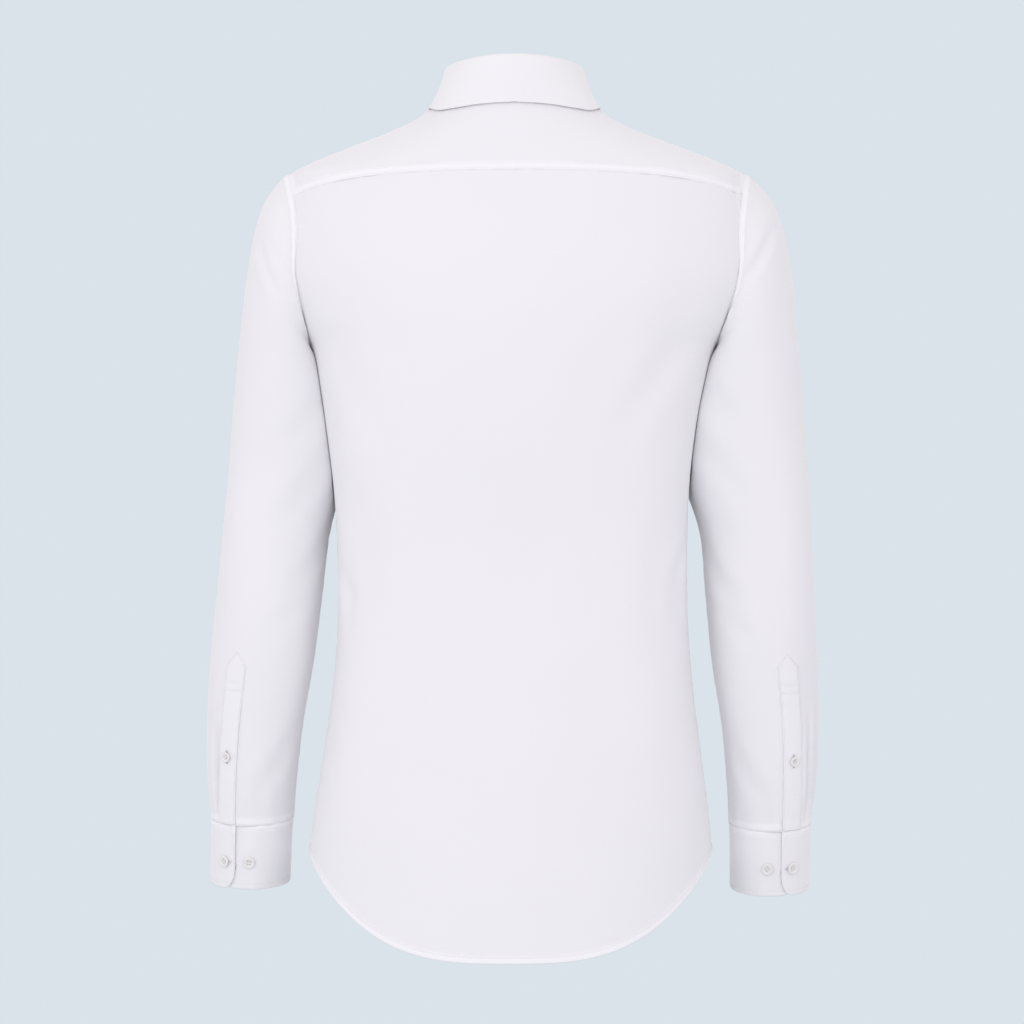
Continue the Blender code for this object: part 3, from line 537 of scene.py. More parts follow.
# The top edge runs on 2.5 mm under the yoke.
tucked, tucked_out = extended(face, out, "top", TUCK_LONG, TUCK_SINK)
field = seam_field(tucked, ("start", "end", "bottom"), FELL_WIDE)
field[:, 1:, 2] *= below_arm
side_seam = slice(int(np.searchsorted(side[1], ARMHOLE_LOW)), None)
rows = [stitched_row(face, out, "bottom", HEM_WIDE - STITCH_IN)]
rows += [stitched_row(face, out, edge, FELL_WIDE - STITCH_IN, side_seam) for edge in ("start", "end")]
back = cloth("back", tucked, tucked_out, field, rows)


# ============================================================ yoke
# One panel over both shoulders. Its back and front edges are turned under and lapped over the
# back and the fronts, and stitched through twice; its outer edges meet the sleeves.
NECK_WIDTH, NECK_DEPTH = 0.0625, 0.0645
YOKE_FRONT_WAY, YOKE_FRONT_TURN, YOKE_NECK_SHARE = 54.0, 112.0, 0.62
YOKE_LAP, YOKE_WIDE, YOKE_HIGH, YOKE_ROWS = 0.0012, 0.0076, 0.0005, (0.0018, 0.0066)
SEAM_POINTS, LEAST_REACH = 56, 0.00005
LAP_DENT, LAP_DENT_WIDE = 0.24, 0.0006

# Soft hollows that fall from the collar towards each shoulder point.
YOKE_FOLDS = table(
    FOLD,
    (48, 0.03, 66, 0.088, 0.001, 0.012, 0.006),
    (-50, 0.032, -64, 0.092, 0.0012, 0.013, -0.006),
    (96, 0.03, 92, 0.072, 0.0008, 0.01, 0.004),
    (-98, 0.028, -90, 0.074, 0.0009, 0.011, -0.004),
    (128, 0.058, 112, 0.1, 0.001, 0.01, 0.003),
    (-126, 0.06, -114, 0.098, 0.0009, 0.01, -0.003),
)


def under_plan(x, y):
    """Turn and drop of the torso's face under a point of the plan, found by halving."""
    x, y = np.broadcast_arrays(x, y)
    high, low = np.full(x.shape, TORSO["drop"][0]), np.full(x.shape, ARMHOLE_LOW)
    for _ in range(40):
        drop = (high + low) / 2
        side, power = read(TORSO, "side", drop), read(TORSO, "round", drop)
        wide = np.abs(x / read(TORSO, "half", drop)) ** power
        deep = np.abs((y - side) / torso_depth(y > side, drop)) ** power
        outside = wide + deep > 1
        high, low = np.where(outside, drop, high), np.where(outside, low, drop)
    facing = np.where(y > side, 1.0, -1.0)
    return np.degrees(np.arctan2(np.sign(x) * np.sqrt(wide), facing * np.sqrt(deep))), drop


def neckline(turn, reach=0.0):
    """Turn and drop of the torso where the upright neck oval, widened by reach, meets it."""
    return under_plan((NECK_WIDTH + reach) * sin(turn), (NECK_DEPTH + reach) * cos(turn))


def lapped(d, wide, high, rows):
    """Height of a turned and lapped edge at distance d: full height from its crisp edge to a soft
    step down at its width, dented along each row of stitching."""
    strip = high * (0.7 + 0.3 * ease(d / 0.0012)) * fade(d, wide, 0.0011)
    return strip - sum(LAP_DENT * high * bell(d - row, LAP_DENT_WIDE) for row in rows)


seam_shares, hole_shares = np.linspace(0, 1, SEAM_POINTS), spaced(34, 0.13, "last")
v = spaced(30, 0.09, "last")
seam = yoke_seam(np.linspace(0, 1, 401), seam_shares)
hole = even_line(*armhole(np.linspace(YOKE_BACK_WAY, -YOKE_FRONT_WAY, 401)), hole_shares)
outer_turn, outer_drop = (np.append(a, b[1:])[:, None] for a, b in zip(seam, hole))
share = np.append(YOKE_NECK_SHARE * seam_shares, (1 - (1 - YOKE_NECK_SHARE) * (1 - hole_shares))[1:])
inner_turn, inner_drop = (value[:, None] for value in neckline(YOKE_FRONT_TURN * share))
turn, drop = inner_turn * (1 - v) + outer_turn * v, inner_drop * (1 - v) + outer_drop * v
turn, drop = np.concatenate([-turn[:0:-1], turn]), np.concatenate([drop[:0:-1], drop])
face, out = torso(turn, drop), torso_outward(turn, drop)
from_middle = np.abs(np.arange(len(face)) - len(face) // 2)
on_seam = fade(from_middle, SEAM_POINTS - 4, 3.0)
face, out = extended(face, out, "bottom", YOKE_LAP * on_seam + LEAST_REACH)
for edge in ("start", "end"):
    face, out = extended(face, out, edge, YOKE_LAP)
on_seam = np.pad(on_seam, 1)[:, None]
relief = soft_folds(face, YOKE_FOLDS, torso, torso_outward)
relief += on_seam * lapped(from_edge(face, "bottom"), YOKE_WIDE, YOKE_HIGH, YOKE_ROWS)
relief = np.maximum(relief, lapped(from_edge(face, "start", "end"), YOKE_WIDE, YOKE_HIGH, YOKE_ROWS))
relief += puckered(face, "bottom", 3.1) * on_seam
face = face + relief[..., None] * out
rows = []
for row in YOKE_ROWS:
    rows.append(stitched_row(face, out, "bottom", row, np.flatnonzero(on_seam[:, 0] > 0.5)))
    rows += [stitched_row(face, out, edge, row) for edge in ("start", "end")]
yoke = cloth("yoke", face, out, seam_field(face, ("start", "end", "bottom"), YOKE_WIDE), rows)


# ============================================================ fronts
# Two fronts in the same poplin, cut alike and mirrored. Each front edge is folded in and
# stitched down as a strip 32 mm wide; the left strip laps over the right one.
OVERLAP, STRIP_WIDE, STRIP_HIGH = 0.0175, 0.0320, 0.0005
HEM_FRONT, UNDER_LAP, UNDER_LAP_SOFT = 0.7560, 0.0019, 0.024
FRONT_TUCK_LONG, FRONT_TUCK_SINK = 0.0020, 0.0002

FRONT_FOLDS = table(
    FOLD,
    (168, 0.15, 150, 0.33, 0.0012, 0.02, 0.008),
    (122, 0.205, 148, 0.32, 0.0015, 0.014, -0.01),
    (118, 0.3, 130, 0.47, 0.0018, 0.018, 0.008),
    (140, 0.38, 134, 0.64, 0.0014, 0.022, -0.008),
    (104, 0.33, 116, 0.44, 0.0011, 0.01, 0.004),
    (100, 0.42, 122, 0.47, 0.001, 0.009, -0.003),
    (160, 0.48, 156, 0.7, 0.0009, 0.02, 0.006),
)


def front_line(x, drop):
    """Turn of the upright line on the front at this x."""
    half, power = read(TORSO, "half", drop), read(TORSO, "round", drop)
    return 180 - np.sign(x) * np.degrees(np.arcsin((np.abs(x) / half) ** (power / 2)))


def neck_turn(x):
    """Turn of the point of the neckline's front at this x."""
    return 180 - np.degrees(np.arcsin(x / NECK_WIDTH))


def front_grid():
    """Turns and drops of the left front: upright lines over the lap, then a patch between the last
    of them, the neckline and yoke seam, the armhole and side seam, and the hem."""
    inner_x = OVERLAP + 0.002
    strip = np.linspace(-OVERLAP, inner_x, 23)
    strip[:6] = -OVERLAP + SEAM_STEPS[:6]
    u, v = spaced(58, 0.17, "last"), spaced(150, 0.66)
    edge = side_line(np.linspace(360 - YOKE_FRONT_WAY, 180, 200), HEM_SIDE, v)
    neck, hole = neckline(np.linspace(neck_turn(inner_x), YOKE_FRONT_TURN, 60)), armhole(-YOKE_FRONT_WAY)
    t = np.linspace(0, 1, 120)[1:]
    top = even_line(*(np.append(n, n[-1] + (h - n[-1]) * t) for n, h in zip(neck, hole)), u)
    turns, drops = [], []
    for x in strip:
        start = neckline(neck_turn(x))[1]
        drops.append(start + (hem_drop(front_line(x, HEM_FRONT), HEM_FRONT) - start) * v**1.02)
        turns.append(front_line(x, drops[-1]))
    low_turn = turns[-1][-1] + (90 - turns[-1][-1]) * u
    bottom = (low_turn, hem_drop(low_turn, HEM_FRONT))
    turn, drop = patch(top, bottom, (turns[-1], drops[-1]), edge, u, v)
    return np.concatenate([turns[:-1], turn]), np.concatenate([drops[:-1], drop])


def front(name, under, seed):
    """The left front, or for the right one the same shape with its strip set under the left's."""
    turn, drop = front_grid()
    face, out = torso(turn, drop), torso_outward(turn, drop)
    inward = from_edge(face, "start")
    relief = soft_folds(face, FRONT_FOLDS, torso, torso_outward)
    relief += felled(from_edge(face, "bottom"), HEM_WIDE, HEM_HIGH)
    relief += lapped(inward, STRIP_WIDE, STRIP_HIGH, (STRIP_WIDE - STITCH_IN,))
    relief += pucker(run(face, 1), np.abs(inward - STRIP_WIDE), seed)
    relief += puckered(face, "bottom", seed + 1) + 0.6 * puckered(face, "top", seed + 2)
    if under:
        relief -= UNDER_LAP * fade(inward, 2 * OVERLAP, UNDER_LAP_SOFT)
    face = face + relief[..., None] * out
    rows = [
        stitched_row(face, out, edge, wide - STITCH_IN)
        for edge, wide in (("bottom", HEM_WIDE), ("start", STRIP_WIDE))
    ]
    # The top edge runs on 2 mm under the yoke and the collar band.
    face, out = extended(face, out, "top", FRONT_TUCK_LONG, FRONT_TUCK_SINK)
    pieces = cloth(name, face, out, seam_field(face, ("start", "bottom"), HEM_WIDE), rows, mirror=under)


front("front_left", False, 0.7)
front("front_right", True, 2.2)


# ============================================================ sleeves
# One panel each, closed by a felled seam under the arm and sewn into the armhole with the
# seam turned onto the sleeve. Small pleats take in its fullness at the cuff.
# HEAD is the strip along the armhole, FELL the seam under the arm, and RIM the tucked top edge;
# SQUEEZE and FILL are of the cloth pressed between arm and body.
GAP, CLEAR_OF_PANEL = 0.0003, 0.0011
JOIN_RINGS, DRAG_FOLD, CUFF_PLEAT = 2.2, 0.0022, 0.0030
CLEAR_OF_SIDE, PRESS_ROUND, PRESS_START, PRESS_LONG = 0.0014, 0.0024, 1.2, 1.6
HEAD_START, HEAD_WIDE, HEAD_HIGH, HEAD_DENT, HEAD_ROW = 0.0005, 0.0084, 0.0009, 0.3, 0.0145
FELL_START, RIM_SINK, RIM_TUCK, RIM_TUCK_SINK = 0.003, 0.0004, 0.0025, 0.0010
SQUEEZE, TOUCHING, FILL_START, FILL_LONG = 0.0042, 0.0003, 0.75, 0.7
PLEAT_WAY, PLEAT_HIGH = {"left": 34.0, "right": 29.0}, 0.0030
PLEAT_WIDE, PLEAT_EDGE, PLEAT_GROOVE, GATHER_HIGH = 0.011, 0.0012, 0.0026, 0.00034
CUFF_TOP_RING, CUFF_LOW_RING, LEAN_STEP = 13.0, 14.0, 0.05

# A row for each ring of a sleeve, from the armhole to the cuff: its outer and its inner
# point, the middle of its depth, how far it reaches behind and before that middle, and how
# far ahead of the outer point the inner one hangs.
SLEEVE = table(
    "ring out_x out_drop in_x in_drop mid back front ahead",
    (0, 0.207, 0.0698, 0.1878, 0.2265, -0.0145, 0.0625, 0.06, 0),
    (1, 0.2218, 0.0765, 0.1881, 0.228, -0.0145, 0.064, 0.0615, 0),
    (2, 0.2345, 0.0975, 0.1866, 0.2315, -0.0145, 0.0655, 0.0625, 0.0015),
    (3, 0.2445, 0.129, 0.1838, 0.2375, -0.015, 0.066, 0.063, 0.0055),
    (4, 0.2515, 0.172, 0.175, 0.249, -0.0165, 0.0655, 0.063, 0.01),
    (5, 0.2565, 0.22, 0.164, 0.272, -0.0195, 0.064, 0.0625, 0.015),
    (6, 0.262, 0.278, 0.1555, 0.304, -0.023, 0.062, 0.061, 0.0185),
    (7, 0.2665, 0.338, 0.1545, 0.344, -0.0268, 0.0595, 0.059, 0.02),
    (8, 0.2715, 0.396, 0.1698, 0.396, -0.03, 0.057, 0.057, 0.016),
    (9, 0.276, 0.456, 0.1778, 0.456, -0.0332, 0.0545, 0.055, 0.009),
    (10, 0.2803, 0.516, 0.1855, 0.516, -0.0368, 0.0515, 0.0525, 0.003),
    (11, 0.2813, 0.57, 0.1945, 0.57, -0.041, 0.048, 0.049, 0.0005),
    (12, 0.28, 0.618, 0.1995, 0.618, -0.045, 0.0445, 0.0455, 0),
    (13, 0.2783, 0.6605, 0.2026, 0.6605, -0.0503, 0.0405, 0.041, 0),
    (14, 0.278, 0.7215, 0.2048, 0.7215, -0.0583, 0.0392, 0.0397, 0),
)

# How the two arms differ as they hang: how much farther out the right sleeve's outer side and
# its inner side stand than the left's, and how much lower its rings lie.
ARM_SWAY = table(
    "ring wider inner lower",
    (0, 0, 0, 0), (2, 0.0012, 0, 0), (3, 0.003, 0, 0),
    (4, 0.0048, 0, 0), (5, 0.009, 0, 0), (6, 0.013, 0, 0),
    (7, 0.013, 0.0034, 0), (8, 0.0095, 0.005, 0), (9, 0.005, 0.002, 0.001),
    (10, 0.0015, 0, 0.002), (11, 0.0005, 0, 0.003), (14, -0.0012, 0, 0.0065),
)

# Each sleeve's creases, from one place (way round, ring) to another.
SLEEVE_FOLDS = {
    "left": table(
        FOLD,
        (26, 2.58, 124, 1.86, 0.0017, 0.005, -0.002),
        (40, 10.8, 37, 12.98, 0.0022, 0.004, 0.001),
        (38, 11.7, 33, 12.98, 0.0013, 0.004, -0.001),
        (56, 12.1, 52, 12.98, 0.0009, 0.0036, 0.001),
        (104, 11.9, 98, 12.98, 0.0006, 0.006, 0.001),
        (150, 10.9, 96, 12.4, 0.0013, 0.009, 0.004),
        (148, 4.6, 84, 6.6, 0.0013, 0.011, 0.008),
        (150, 6.4, 92, 8.2, 0.0012, 0.01, -0.006),
        (162, 7.8, 100, 9, 0.0014, 0.0085, 0.005),
        (158, 8.8, 96, 9.5, 0.0011, 0.008, -0.004),
        (60, 6.2, 70, 9.6, 0.001, 0.015, 0.006),
        (44, 9.2, 60, 11.4, 0.0009, 0.012, -0.004),
        (-40, 1.2, -84, 4, 0.0018, 0.0085, -0.005),
        (-150, 4.8, -86, 6.8, 0.0014, 0.0105, -0.006),
        (-160, 7.4, -96, 8.8, 0.0018, 0.0085, 0.005),
        (-152, 8.5, -80, 9.3, 0.0015, 0.008, -0.004),
        (-60, 6, -66, 9.8, 0.001, 0.015, 0.006),
        (-30, 11.8, -34, 12.98, 0.0016, 0.0045, 0.001),
        (-70, 11.6, -74, 12.98, 0.0012, 0.0045, -0.001),
        (-120, 11.9, -116, 12.98, 0.0013, 0.004, 0.001),
    ),
    "right": table(
        FOLD,
        (34, 2.18, 112, 1.2, 0.0015, 0.0048, -0.002),
        (36, 10.4, 33, 12.98, 0.002, 0.0042, 0.001),
        (34, 11.4, 31, 12.98, 0.0012, 0.004, -0.001),
        (60, 12, 56, 12.98, 0.001, 0.0038, 0.001),
        (106, 12, 100, 12.98, 0.0006, 0.006, 0.001),
        (148, 11.1, 94, 12.5, 0.0012, 0.0085, 0.004),
        (146, 4.4, 88, 6.2, 0.0014, 0.011, 0.008),
        (154, 6, 90, 7.8, 0.0011, 0.01, -0.006),
        (160, 8, 104, 9.2, 0.0015, 0.0085, 0.005),
        (150, 9, 98, 9.8, 0.001, 0.008, -0.004),
        (64, 6.6, 74, 10.2, 0.0011, 0.015, 0.006),
        (40, 9.6, 52, 11.6, 0.001, 0.012, -0.004),
        (-42, 1.4, -80, 3.8, 0.0017, 0.0085, -0.005),
        (-148, 5, -84, 7, 0.0013, 0.0105, -0.006),
        (-158, 7.6, -92, 9, 0.0017, 0.0085, 0.005),
        (-150, 8.7, -84, 9.6, 0.0013, 0.008, -0.004),
        (-58, 6.4, -62, 10, 0.0011, 0.015, 0.006),
        (-34, 11.9, -30, 12.98, 0.0014, 0.0045, 0.001),
        (-76, 11.7, -72, 12.98, 0.0013, 0.0045, -0.001),
        (-114, 12, -118, 12.98, 0.0012, 0.004, 0.001),
    ),
}


def side_x(y, drop):
    """Half width of the torso at a depth y."""
    power, side = read(TORSO, "round", drop), read(TORSO, "side", drop)
    share = np.clip((y - side) / torso_depth(y > side, drop), 0, 1)
    return read(TORSO, "half", drop) * (1 - share**power) ** (1 / power)


def pressed_out(points, clear, rounding):
    """How far points have to move sideways to lie clear of the body's side, eased in by rounding."""
    into = side_x(points[..., 1], -points[..., 2]) + clear - points[..., 0]
    return (into + np.hypot(into, rounding)) / 2


def sleeve(side, way, ring):
    """Outer face of a sleeve, drawn on the left: way 0 is its outer side, 90 its back. An oval
    tube leans along the arm, and is drawn in to the armhole at its top."""
    way, ring = np.broadcast_arrays(way, ring)
    ring = np.clip(ring, 0, CUFF_LOW_RING)
    row = {name: read(SLEEVE, name, ring) for name in SLEEVE.dtype.names}
    sway = {name: read(ARM_SWAY, name, ring) for name in ("wider", "inner", "lower")}
    right = 1.0 if side == "right" else 0.0
    out_x, in_x = row["out_x"] + (right - 0.5) * sway["wider"], row["in_x"] + right * sway["inner"]
    ahead, *fall = (
        read(SLEEVE, name, ring + LEAN_STEP) - read(SLEEVE, name, ring - LEAN_STEP)
        for name in ("mid", "out_drop", "in_drop")
    )
    lean = -2 * ahead / sum(fall) * ease((ring - 6) / 3)
    reach = np.where(sin(way) > 0, row["back"], row["front"]) * sin(way)
    x = (out_x + in_x) / 2 + (out_x - in_x) / 2 * cos(way)
    drop = (row["out_drop"] + row["in_drop"]) / 2 + (row["out_drop"] - row["in_drop"]) / 2 * cos(way)
    drop = drop + right * sway["lower"] + reach * lean
    tube = np.stack([x, row["mid"] - row["ahead"] * (1 - cos(way)) / 2 + reach, -drop], axis=-1)
    start = torso(*armhole(way)) + np.array([2 * GAP, 0, 0])
    join = ease(ring / JOIN_RINGS)[..., None]
    # Low on the armhole the sleeve lies along the panel, so it stands a little clear of it.
    beside = bell(np.abs(way - 180) - 40, 24) * ease(ring / 0.25) * ease((5 - ring) / 3)
    clear = (CLEAR_OF_PANEL * beside)[..., None] * np.array([1.0, 0, 0])
    folds = sleeve_folds(way, ring)[..., None] * np.stack([cos(way), sin(way), 0 * way], axis=-1)
    points = start * (1 - join) + tube * join + clear + folds
    # Below the armhole the inner side lies along the body's side instead of passing into it.
    pressed = pressed_out(points, CLEAR_OF_SIDE, PRESS_ROUND)
    points[..., 0] += pressed * ease((ring - PRESS_START) / PRESS_LONG)
    return points


def sleeve_folds(way, ring):
    """How far the cloth stands out or sinks in: the drag fold behind the shoulder and the pleat."""
    way = (way + 180) % 360 - 180
    drag = bell(ring - (2.55 - 0.010 * (way - 45)), 0.5) * bell(way - 76, 34)
    pleat = bell(way - 19, 9) - 0.8 * bell(way - 2, 10)
    along = ease((ring - 9.6) / 2.2) * fade(ring, 12.3, 0.7)
    return -DRAG_FOLD * drag * ease(ring / 1.5) - CUFF_PLEAT * pleat * along


def sleeve_outward(side, way, ring):
    """Unit vectors out of a sleeve's face."""
    return -square_to(partial(sleeve, side), way, ring, (1.0, 0.05))


def on_sleeve(side, way, ring, lift=0.0):
    """Points of a sleeve's face moved out by lift, and the unit vectors out of it."""
    out = sleeve_outward(side, way, ring)
    return sleeve(side, way, ring) + out * np.asarray(lift)[..., None], out


def ring_radius(ring):
    """Mean radius of a sleeve ring, to turn a width on the cloth into a way."""
    wide = (read(SLEEVE, "out_x", ring) - read(SLEEVE, "in_x", ring)) / 2
    return (wide + read(SLEEVE, "back", ring)) / 2


def sleeve_seams(face, around, way, ring, seed):
    """Height of the strip along the armhole, the felled seam under the arm and their puckers."""
    from_hole = from_edge(face, "top") - HEAD_START
    relief = HEAD_HIGH * ease(from_hole / EDGE_ROUND) * fade(from_hole, HEAD_WIDE, 0.0010)
    relief -= HEAD_DENT * HEAD_HIGH * bell(from_hole - HEAD_WIDE + STITCH_IN, 0.0006)
    # A second, fainter row holds the allowance down behind the shoulder.
    relief -= HEAD_DENT * HEAD_HIGH * bell(from_hole - HEAD_ROW, 0.0007) * bell(way - 52, 15)
    relief += pucker(around, from_hole, seed)
    past_middle = np.radians(way - 180) * ring_radius(ring)
    strip = ease((past_middle + FELL_START) / 0.0010) * fade(past_middle + FELL_START, FELL_WIDE, 0.0010)
    relief += FELL_HIGH * strip * ease((ring - 1.0) / 0.6)
    return relief + pucker(from_edge(face, "top"), past_middle, seed + 1, reach=0.008) * ease(ring - 1)


def sleeve_fullness(side, face, around, way, ring, seed):
    """Height of the outer pleat over the cuff, of the gathers beside it, and of the cloth that is
    squeezed between arm and body and fills out behind and in front of where they meet."""
    # The pleat rises to a sharp edge and drops behind it.
    past_pleat = np.radians(way - PLEAT_WAY[side]) * ring_radius(ring)
    pleat = PLEAT_HIGH * ease(past_pleat / PLEAT_WIDE + 1) * fade(past_pleat, 0, PLEAT_EDGE)
    pleat -= PLEAT_GROOVE * bell(past_pleat - 0.0022, 0.0016)
    relief = pleat * ease((ring - 10.3) / 1.8) * ease((CUFF_TOP_RING - ring) / 0.5)
    over_cuff = from_edge(face, "bottom") / 0.016
    gather = np.sin(around * 300 + seed) + 0.7 * np.sin(around * 437 + 3 * seed)
    gather += 0.5 * np.sin(around * 181)
    relief += GATHER_HIGH * gather * bell(over_cuff, 1) * ease(over_cuff / 0.16)
    started = ease((ring - FILL_START) / FILL_LONG)
    filled = SQUEEZE * bell(np.abs(way - 180) - 40, 26) * started * ease((12.4 - ring) / 2)
    touching = 0.0035 * started * ease((7.6 - ring) / 0.9) * np.exp(-(((way - 180) / 55) ** 4))
    return relief + np.maximum(filled, touching)


def sleeve_shell(side, seed):
    """One sleeve as a closed tube, with its seams and creases, from under the armhole's edge to
    just inside the cuff."""
    way = np.linspace(0, 360, 168, endpoint=False)
    near = [0, 0.03, 0.07, 0.13, 0.2, 0.27, 0.34, 0.38, 0.42, 0.46, 0.5, 0.56, 0.65, 0.78, 0.9]
    middle, low = np.linspace(4, 11.4, 62)[1:], np.linspace(11.4, CUFF_TOP_RING + 0.04, 28)[1:]
    ring = np.concatenate([near, np.linspace(1, 4, 25), middle, low])
    way, ring = np.broadcast_arrays(way[:, None], ring)
    face, out = on_sleeve(side, way, ring)
    around = run(np.concatenate([face, face[:1]]), 0)[:-1]
    relief = soft_folds(face, SLEEVE_FOLDS[side], partial(sleeve, side), partial(sleeve_outward, side))
    relief += sleeve_seams(face, around, way, ring, seed)
    relief += sleeve_fullness(side, face, around, way, ring, seed)
    face = face + relief[..., None] * out
    # It lies against the body, and a little off the felled seam that runs down its side.
    behind = face[..., 1] - read(TORSO, "side", -face[..., 2])
    clear = CLEAR_OF_SIDE + (TOUCHING - CLEAR_OF_SIDE) * ease((behind - 0.009) / 0.005)
    face[..., 0] += pressed_out(face, clear, 0.0006) * ease((ring - 0.9) / 0.7)
    # At the armhole the cloth comes up from under the panel's edge, and runs on 2.5 mm below it.
    rim, rim_out = (place(*armhole(way[:, 0])) for place in (torso, torso_outward))
    inward = unit(np.cross(rim_out, np.roll(rim, -1, axis=0) - np.roll(rim, 1, axis=0)))
    inward *= np.sign(((rim - rim.mean(axis=0)) * inward).sum())
    risen = ease(from_edge(face, "top") / 0.0012)[..., None]
    face = (rim - RIM_SINK * rim_out)[:, None] * (1 - risen) + face * risen
    tuck = (rim + RIM_TUCK * inward - RIM_TUCK_SINK * rim_out)[:, None]
    tube, tube_out = np.concatenate([tuck, face], axis=1), np.concatenate([out[:, :1], out], axis=1)
    field = seam_field(tube, ("top", "bottom"), HEAD_WIDE)
    closed = [np.concatenate([g, g[:1]]) for g in (face, out)]
    rows = [stitched_row(*closed, "top", HEAD_START + HEAD_WIDE - STITCH_IN)]
    under_arm = len(way) // 2
    for line in (under_arm - 2, under_arm + 1):
        rows.append(sewn(face[line, 20:], out[line, 20:]))
    pieces = cloth(f"sleeve_{side}", tube, tube_out, field, rows, ring=True, mirror=side == "right")
    return pieces[0]


sleeves = {"left": sleeve_shell("left", 0.9), "right": sleeve_shell("right", 2.4)}


# ============================================================ sleeve plackets
# A pointed strip of the same poplin folded over the slit of each sleeve, stitched along both
# edges and round its point, with a box of stitching across it below the point.
PLACKET_WIDE, PLACKET_LONG, PLACKET_POINT = 0.0205, 0.1560, 0.0115
LAY = 0.0004
PLACKET_LIFT, PLACKET_WALL, PLACKET_START = 0.0016, 0.0014, 0.012
THICK_DENT_WIDE = 0.0008
PLACKET_ROW, PLACKET_DENT, PLACKET_BOX, BOX_DENT = 0.0019, 0.00034, (0.1215, 0.1290), 0.00042
# Way round the cuff of its free edge, and of the sleeve placket's free edge at its top.
CUFF_EDGE = {"left": 71.0, "right": 77.0}
PLACKET_EDGE = {"left": 77.0, "right": 80.0}


def placket_place(side, across, height):
    """Way and ring of a point of the sleeve placket: its share across, its height over the cuff."""
    ladder = np.linspace(9, CUFF_TOP_RING - PLACKET_START, 60)
    ladder_drop = read(SLEEVE, "out_drop", ladder)
    ring = np.interp(ladder_drop[-1] - height, ladder_drop, ladder)
    shift = (PLACKET_EDGE[side] - CUFF_EDGE[side]) * ease(height / PLACKET_LONG)
    return CUFF_EDGE[side] + shift - np.degrees(PLACKET_WIDE * across / ring_radius(ring)), ring


def raised(d, deep=0.0006, over=0.0012):
    """How far a finished edge rounds down at distance d from it."""
    return -deep * fade(d, 0, over) ** 2


def placket(side, seed):
    """The strip as a grid from the cuff up to its point, its edges rounded down."""
    across = np.linspace(0, 1, 27)[:, None]
    peak = PLACKET_LONG - PLACKET_POINT * np.abs(2 * across - 1)
    height = peak * np.append(np.linspace(-PLACKET_START, 0.93, 84), np.linspace(0.93, 1, 16)[1:])
    way, ring = placket_place(side, across, height)
    face, out = on_sleeve(side, way, ring, PLACKET_LIFT)
    sides = "start", "end", "bottom"
    edges = from_edge(face, *sides)
    # Its free edge stands clear; its other edge and its point are sewn flat to the sleeve.
    relief = np.minimum(raised(edges), raised(from_edge(face, "end", "bottom"), 0.0012, 0.0020))
    relief -= PLACKET_DENT * bell(edges - PLACKET_ROW, DENT_WIDE)
    for box in PLACKET_BOX:
        relief -= BOX_DENT * bell(height - box, THICK_DENT_WIDE)
    relief += pucker(run(face, 1), edges, seed, high=0.00016, reach=0.006)
    face = face + relief[..., None] * out
    rows = [stitched_row(face, out, edge, PLACKET_ROW) for edge in sides]
    for box in PLACKET_BOX:
        pick = np.arange(len(face))[2:-2], np.abs(height - box).argmin(axis=1)[2:-2]
        rows.append(sewn(face[pick], out[pick]))
    field = seam_field(face, sides, 0.03) * np.array([1, 1, 0.35])
    name, right = f"placket_{side}", side == "right"
    pieces = cloth(name, face, out, field, rows, wall=PLACKET_WALL, mirror=right)


placket("left", 1.1)
placket("right", 0.3)


# ============================================================ cuffs
# A doubled and interlined band round each wrist, its lower corners rounded and its upper end
# lapped outside the lower one. It is edge stitched all round, and twice along its top.
CUFF_TALL, CUFF_LAP, STIFF, STIFF_WALL = 0.0610, 0.0160, 0.0019, 0.0018
CUFF_DIP_START, CUFF_DIP_LONG = 0.0220, 0.0180
CUFF_ROUND_WIDE, CUFF_ROUND_TALL = 0.0125, 0.0190
CUFF_EDGE_ROW, CUFF_TOP_ROWS, CUFF_TOP_LAYERS = 0.0048, (0.0014, 0.0062), 0.0070
CUFF_EDGE_DENT, STIFF_DENT = 0.00020, 0.00022

stiff_poplin = fabric("stiff_poplin", (0.938, 0.926, 0.953), weave_deep=0.18, crumple=0.05)


def cuff_size():
    """Mean radius of a cuff, its length once round, and its whole length with the lap."""
    radius = float(ring_radius(CUFF_LOW_RING))
    around = 2 * np.pi * radius
    return radius, around, around + CUFF_LAP


def cuff_lift(along):
    """Height of a cuff's outer face over the sleeve's form: its far end sinks under the near end."""
    around = cuff_size()[1]
    return GAP - (STIFF + LAY) * ease((along - around + CUFF_DIP_START) / CUFF_DIP_LONG)


def corner(from_end, wide, tall):
    """How much a quarter round takes off an edge's height at a distance from its end."""
    rounding = np.clip(1 - from_end / wide, 0, 1)
    return tall * (1 - np.sqrt(1 - rounding**2))


